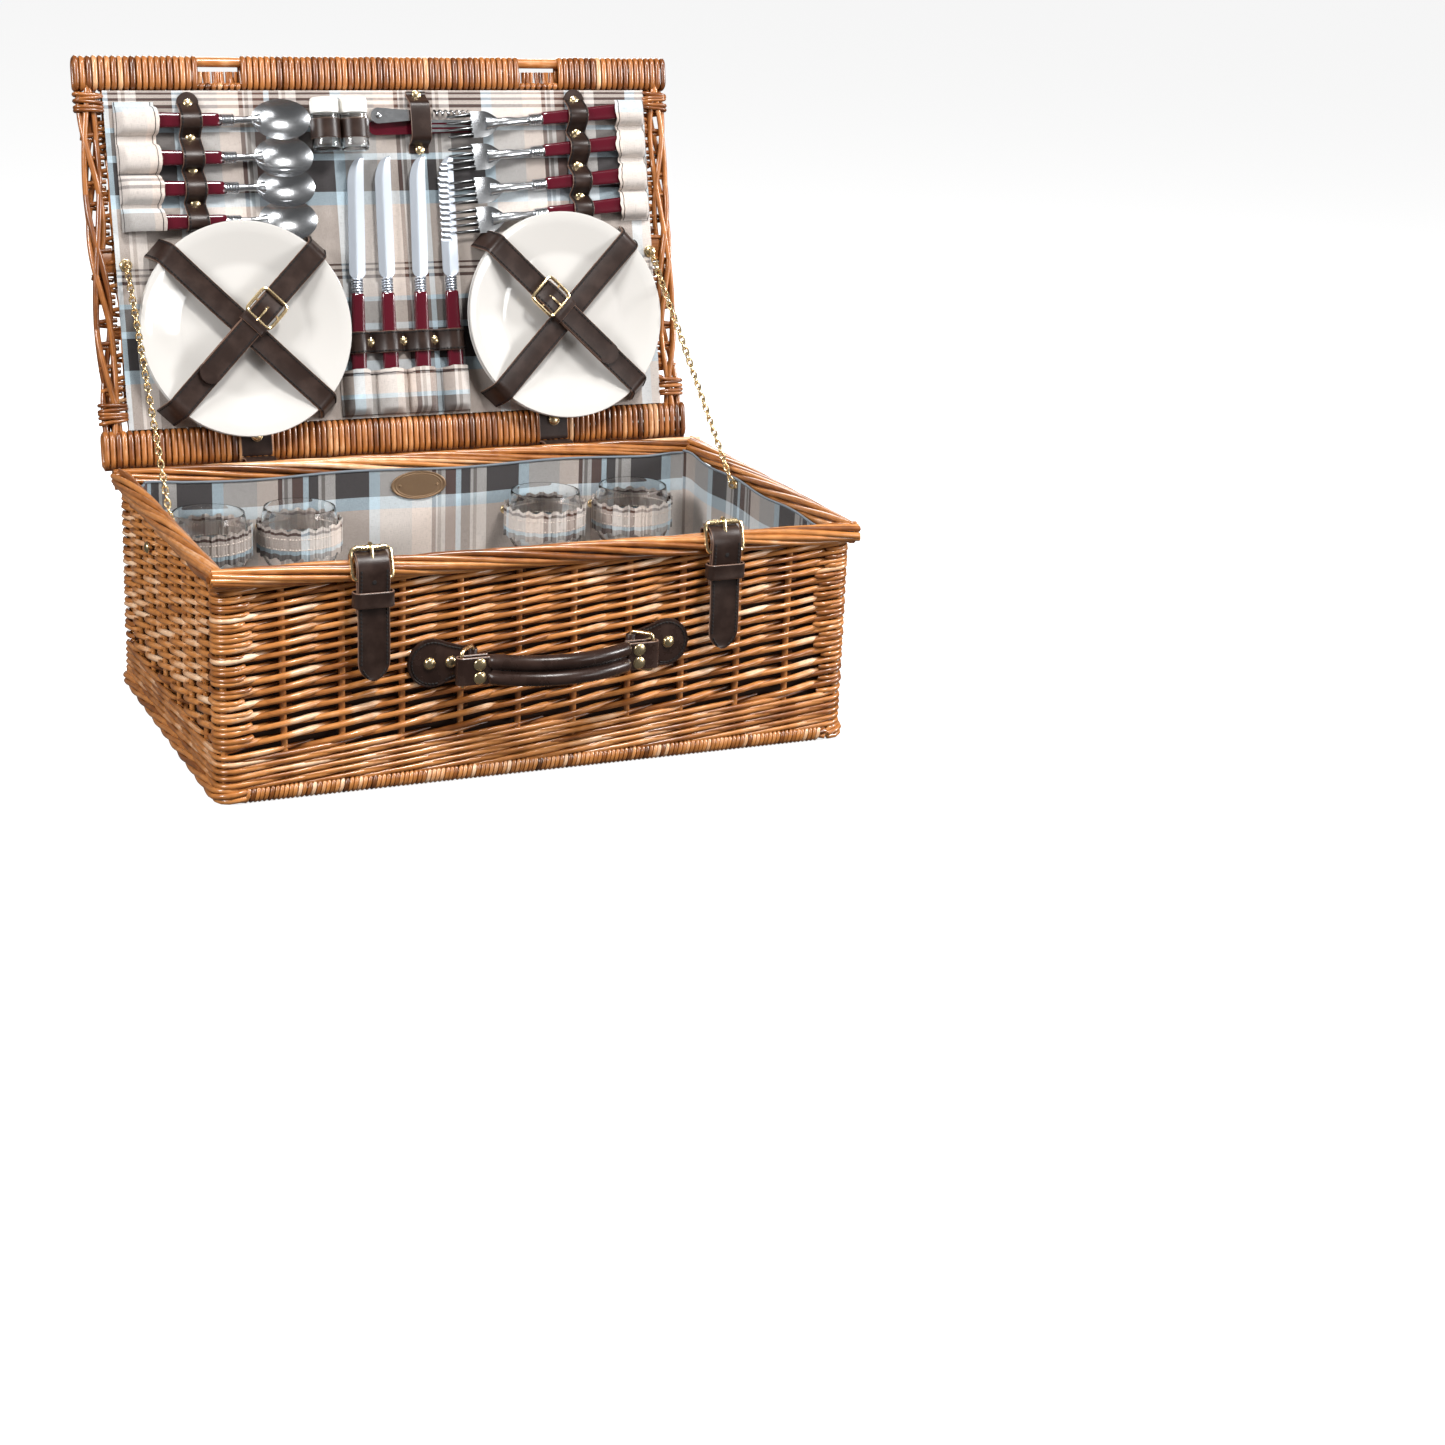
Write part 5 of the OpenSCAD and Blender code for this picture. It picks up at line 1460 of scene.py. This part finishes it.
put(plaque, "name_plate", BRASS_DULL, "basket", 40)

jars, caps, loops = Build(), Build(), Build()
JAR_N, JAR_V = FIT_N + 12.6, 265.6
TOOL_X = 29.5                                    # where the corkscrew's loop lies


def up_lid(x, v0):
    """Turns a lathe's (x, y, height) into world points with the height up the lid."""
    return lambda p: lid_point(x + p[:, 0], v0 + p[:, 2], JAR_N - p[:, 1])


JAR = [(0.001, 0), (9, 0), (11.6, 0.6), (12.5, 2.2), (12.6, 5), (12.2, 12), (11.6, 14), (12.2, 16),
       (12.2, 32.6), (11.0, 33), (11, 32), (11, 6), (9.5, 3.4), (0.001, 3.0)]
CAP = [(0.001, 33.2), (11.6, 33.2), (12.5, 33.8), (12.6, 36), (12.6, 44.6), (12.3, 46.2), (11.4, 47.0),
       (6, 47.6), (0.001, 47.7)]
for x in (-60.5, -34.0):
    lathe(jars, JAR, 40, up_lid(x, JAR_V))
    lathe(caps, CAP, 40, up_lid(x, JAR_V))
    for k in range(40):                          # fine grip ribs round the cap
        t = 2 * math.pi * k / 40
        rib = np.array([[12.55 * math.cos(t), 12.55 * math.sin(t), h] for h in (36, 39, 42, 44.4)])
        tube(caps, up_lid(x, JAR_V)(rib), 0.28, 4)
    a = np.linspace(-0.35, math.pi + 0.35, 26)
    belt(loops, lid_point(x + 13.5 * np.cos(a), 285.5, JAR_N + 13.5 * np.sin(a)), -ALONG_LID, 17, 1.4)
put(jars, "shaker_jars", GLASS, "lid", 50)
put(caps, "shaker_caps", WHITE, "lid", 40)
over = [(320, FIT_N + 0.5), (316.5, FIT_N + 1.2), (312.5, 3), (309, 7.6), (303, 9.0), (290, 9.4),
        (280, 9.0), (275.5, 7), (273, 2.5), (270.5, FIT_N + 1), (264.5, FIT_N + 0.4)]
hug = along_rail([lid_point(TOOL_X, v, n) for v, n in over], 1.4)
belt(loops, hug, -X_BACK, 19, 1.6)
loop_thread, loop_rivets = Build(), Build()
for edge in (-7.6, 7.6):
    stitches(loop_thread, hug, np.cross([1.0, 0, 0], unit(np.gradient(hug, axis=0))), edge, 3.0, 1.8, 1.6)
for v, n in ((316.5, 2.6), (267.5, 2.2)):
    dome(loop_rivets, lid_point(TOOL_X, v, FIT_N + n), OUT_OF_LID, 4.2, 1.8)
put(loops, "tool_loops", LEATHER, "lid", 35)
put(loop_thread, "loop_stitching", THREAD, "lid", 60, own_node=False)
put(loop_rivets, "loop_rivets", BRASS, "lid", 35, own_node=False)


def slab(build, outline, n0, n1, ease):
    """A flat part of the corkscrew: an outline of (x, v) points from n0 to n1 with eased edges."""
    outline = np.asarray(outline, float)
    middle = outline.mean(0)
    size = np.abs(outline - middle).max()
    m = len(outline)
    verts = []
    for k, n in ((1 - ease / size, n0), (1.0, n0 + ease), (1.0, n1 - ease), (1 - ease / size, n1)):
        pts = middle + (outline - middle) * k
        verts.append(lid_point(pts[:, 0], pts[:, 1], np.full(m, n)))
    build.add(np.vstack(verts), grid_faces(4, m, True), caps=end_caps(4, m))


def capsule(x0, x1, v, half, tip):
    """An outline with a round end at x0 and a square one, "tip" times as wide, at x1."""
    a = np.linspace(math.pi / 2, 3 * math.pi / 2, 12)
    left = [(x0 + half * (1 + math.cos(t)), v + half * math.sin(t)) for t in a]
    return left + [(x1, v - half * tip), (x1, v + half * tip)]


scales, tools = Build(), Build()
slab(scales, capsule(-18, 84.5, 287.5, 7.0, 0.7), FIT_N + 0.3, FIT_N + 4.2, 1.2)
slab(tools, capsule(-17, 27, 297.5, 7.2, 0.6), FIT_N + 1.0, FIT_N + 9.6, 0.8)
for v, x1 in ((292.6, 83), (288.4, 81), (284.2, 74)):             # the folded blades' edges
    blade = [(24, v - 1.5), (x1 - 12, v - 1.1), (x1, v), (x1 - 12, v + 1.1), (24, v + 1.5)]
    slab(tools, blade, FIT_N + 3.6, FIT_N + 5.4, 0.3)
dome(tools, lid_point(-9.5, 297.5, FIT_N + 9.6), OUT_OF_LID, 2.6, 0.9)
t = np.linspace(0, 1, 90)
turn = t * 2 * math.pi * 6
worm = lid_point(45 + 33 * t, 300.5 + 1.9 * np.cos(turn), FIT_N + 3.2 + 1.9 * np.sin(turn))
# the worm is toned 0.2, which the steel paints darker: a painted dark reflection
tube(tools, worm, 1.0, 7, 0.2, scale=np.linspace(1.1, 0.5, 90))
put(scales, "corkscrew_body", BURGUNDY, "lid", 40)
put(tools, "corkscrew_steel", STEEL, "lid", 40)

# ---------------- camera, light and floor
floor = Build()
floor.add(30000 * np.array([[-1, -1, 0], [1, -1, 0], [1, 1, 0], [-1, 1, 0]]), [[0, 1, 2, 3]])
floor = floor.finish("floor", FLOOR)
# its white shows, but doesn't light the basket from below
floor.visible_diffuse = floor.visible_glossy = False

scene = bpy.context.scene
camera = bpy.data.objects.new("camera", bpy.data.cameras.new("camera"))
scene.collection.objects.link(camera)
yaw, pitch, roll = math.radians(25.06), math.radians(18.715), math.radians(2.482)
ahead = Vector((math.sin(yaw) * math.cos(pitch), math.cos(yaw) * math.cos(pitch), -math.sin(pitch)))
right = Vector((math.cos(yaw), -math.sin(yaw), 0))
above = right.cross(ahead)
tilted = math.cos(roll) * right + math.sin(roll) * above
upright = math.cos(roll) * above - math.sin(roll) * right
for row in range(3):
    camera.matrix_world[row][:3] = tilted[row], upright[row], -ahead[row]
camera.location = (-0.7354, -2.0805, 0.7411)
camera.data.lens, camera.data.sensor_width = 65.8, 36.0
camera.data.clip_end = 200
scene.camera = camera


WHITE_LIGHT = (1, 1, 1)
for name, place, target, size, power, colour in (
        ("key", (0.5, -1.35, 2.6), (0, 0, 0.2), 0.55, 80, (1.0, 0.99, 0.97)),
        ("side", (2.5, -1.0, 1.1), (0.1, 0, 0.15), 0.6, 62, WHITE_LIGHT),
        ("front", (1.9, -2.2, 0.6), (0, 0, 0.1), 0.8, 17, WHITE_LIGHT),
        ("left", (-2.3, -0.9, 1.5), (0, 0, 0.15), 0.8, 66, WHITE_LIGHT),
        ("back", (0.8, 2.6, 1.2), (0, 0.1, 0.25), 1.2, 26, WHITE_LIGHT)):
    lamp = bpy.data.objects.new(name, bpy.data.lights.new(name, "AREA"))
    scene.collection.objects.link(lamp)
    lamp.location = place
    lamp.rotation_euler = (Vector(target) - Vector(place)).to_track_quat("-Z", "Y").to_euler()
    lamp.data.size, lamp.data.energy, lamp.data.color = size, power, colour
world = bpy.data.worlds.new("world")
scene.world = world
world.use_nodes = True
sky = world.node_tree
sky.nodes["Background"].inputs[0].default_value = (1, 1, 1, 1)
ray = sky.nodes.new("ShaderNodeLightPath")
level, glint = sky.nodes.new("ShaderNodeMapRange"), sky.nodes.new("ShaderNodeMapRange")
glint.inputs[3].default_value, glint.inputs[4].default_value = 0.2, 0.1
level.inputs[4].default_value = 1.05             # white to look at, a dim light, darker in reflections
sky.links.new(ray.outputs["Is Glossy Ray"], glint.inputs[0])
sky.links.new(ray.outputs["Is Camera Ray"], level.inputs[0])
sky.links.new(glint.outputs[0], level.inputs[3])
sky.links.new(level.outputs[0], sky.nodes["Background"].inputs[1])
scene.view_settings.view_transform = "Standard"
scene.view_settings.look = "None"
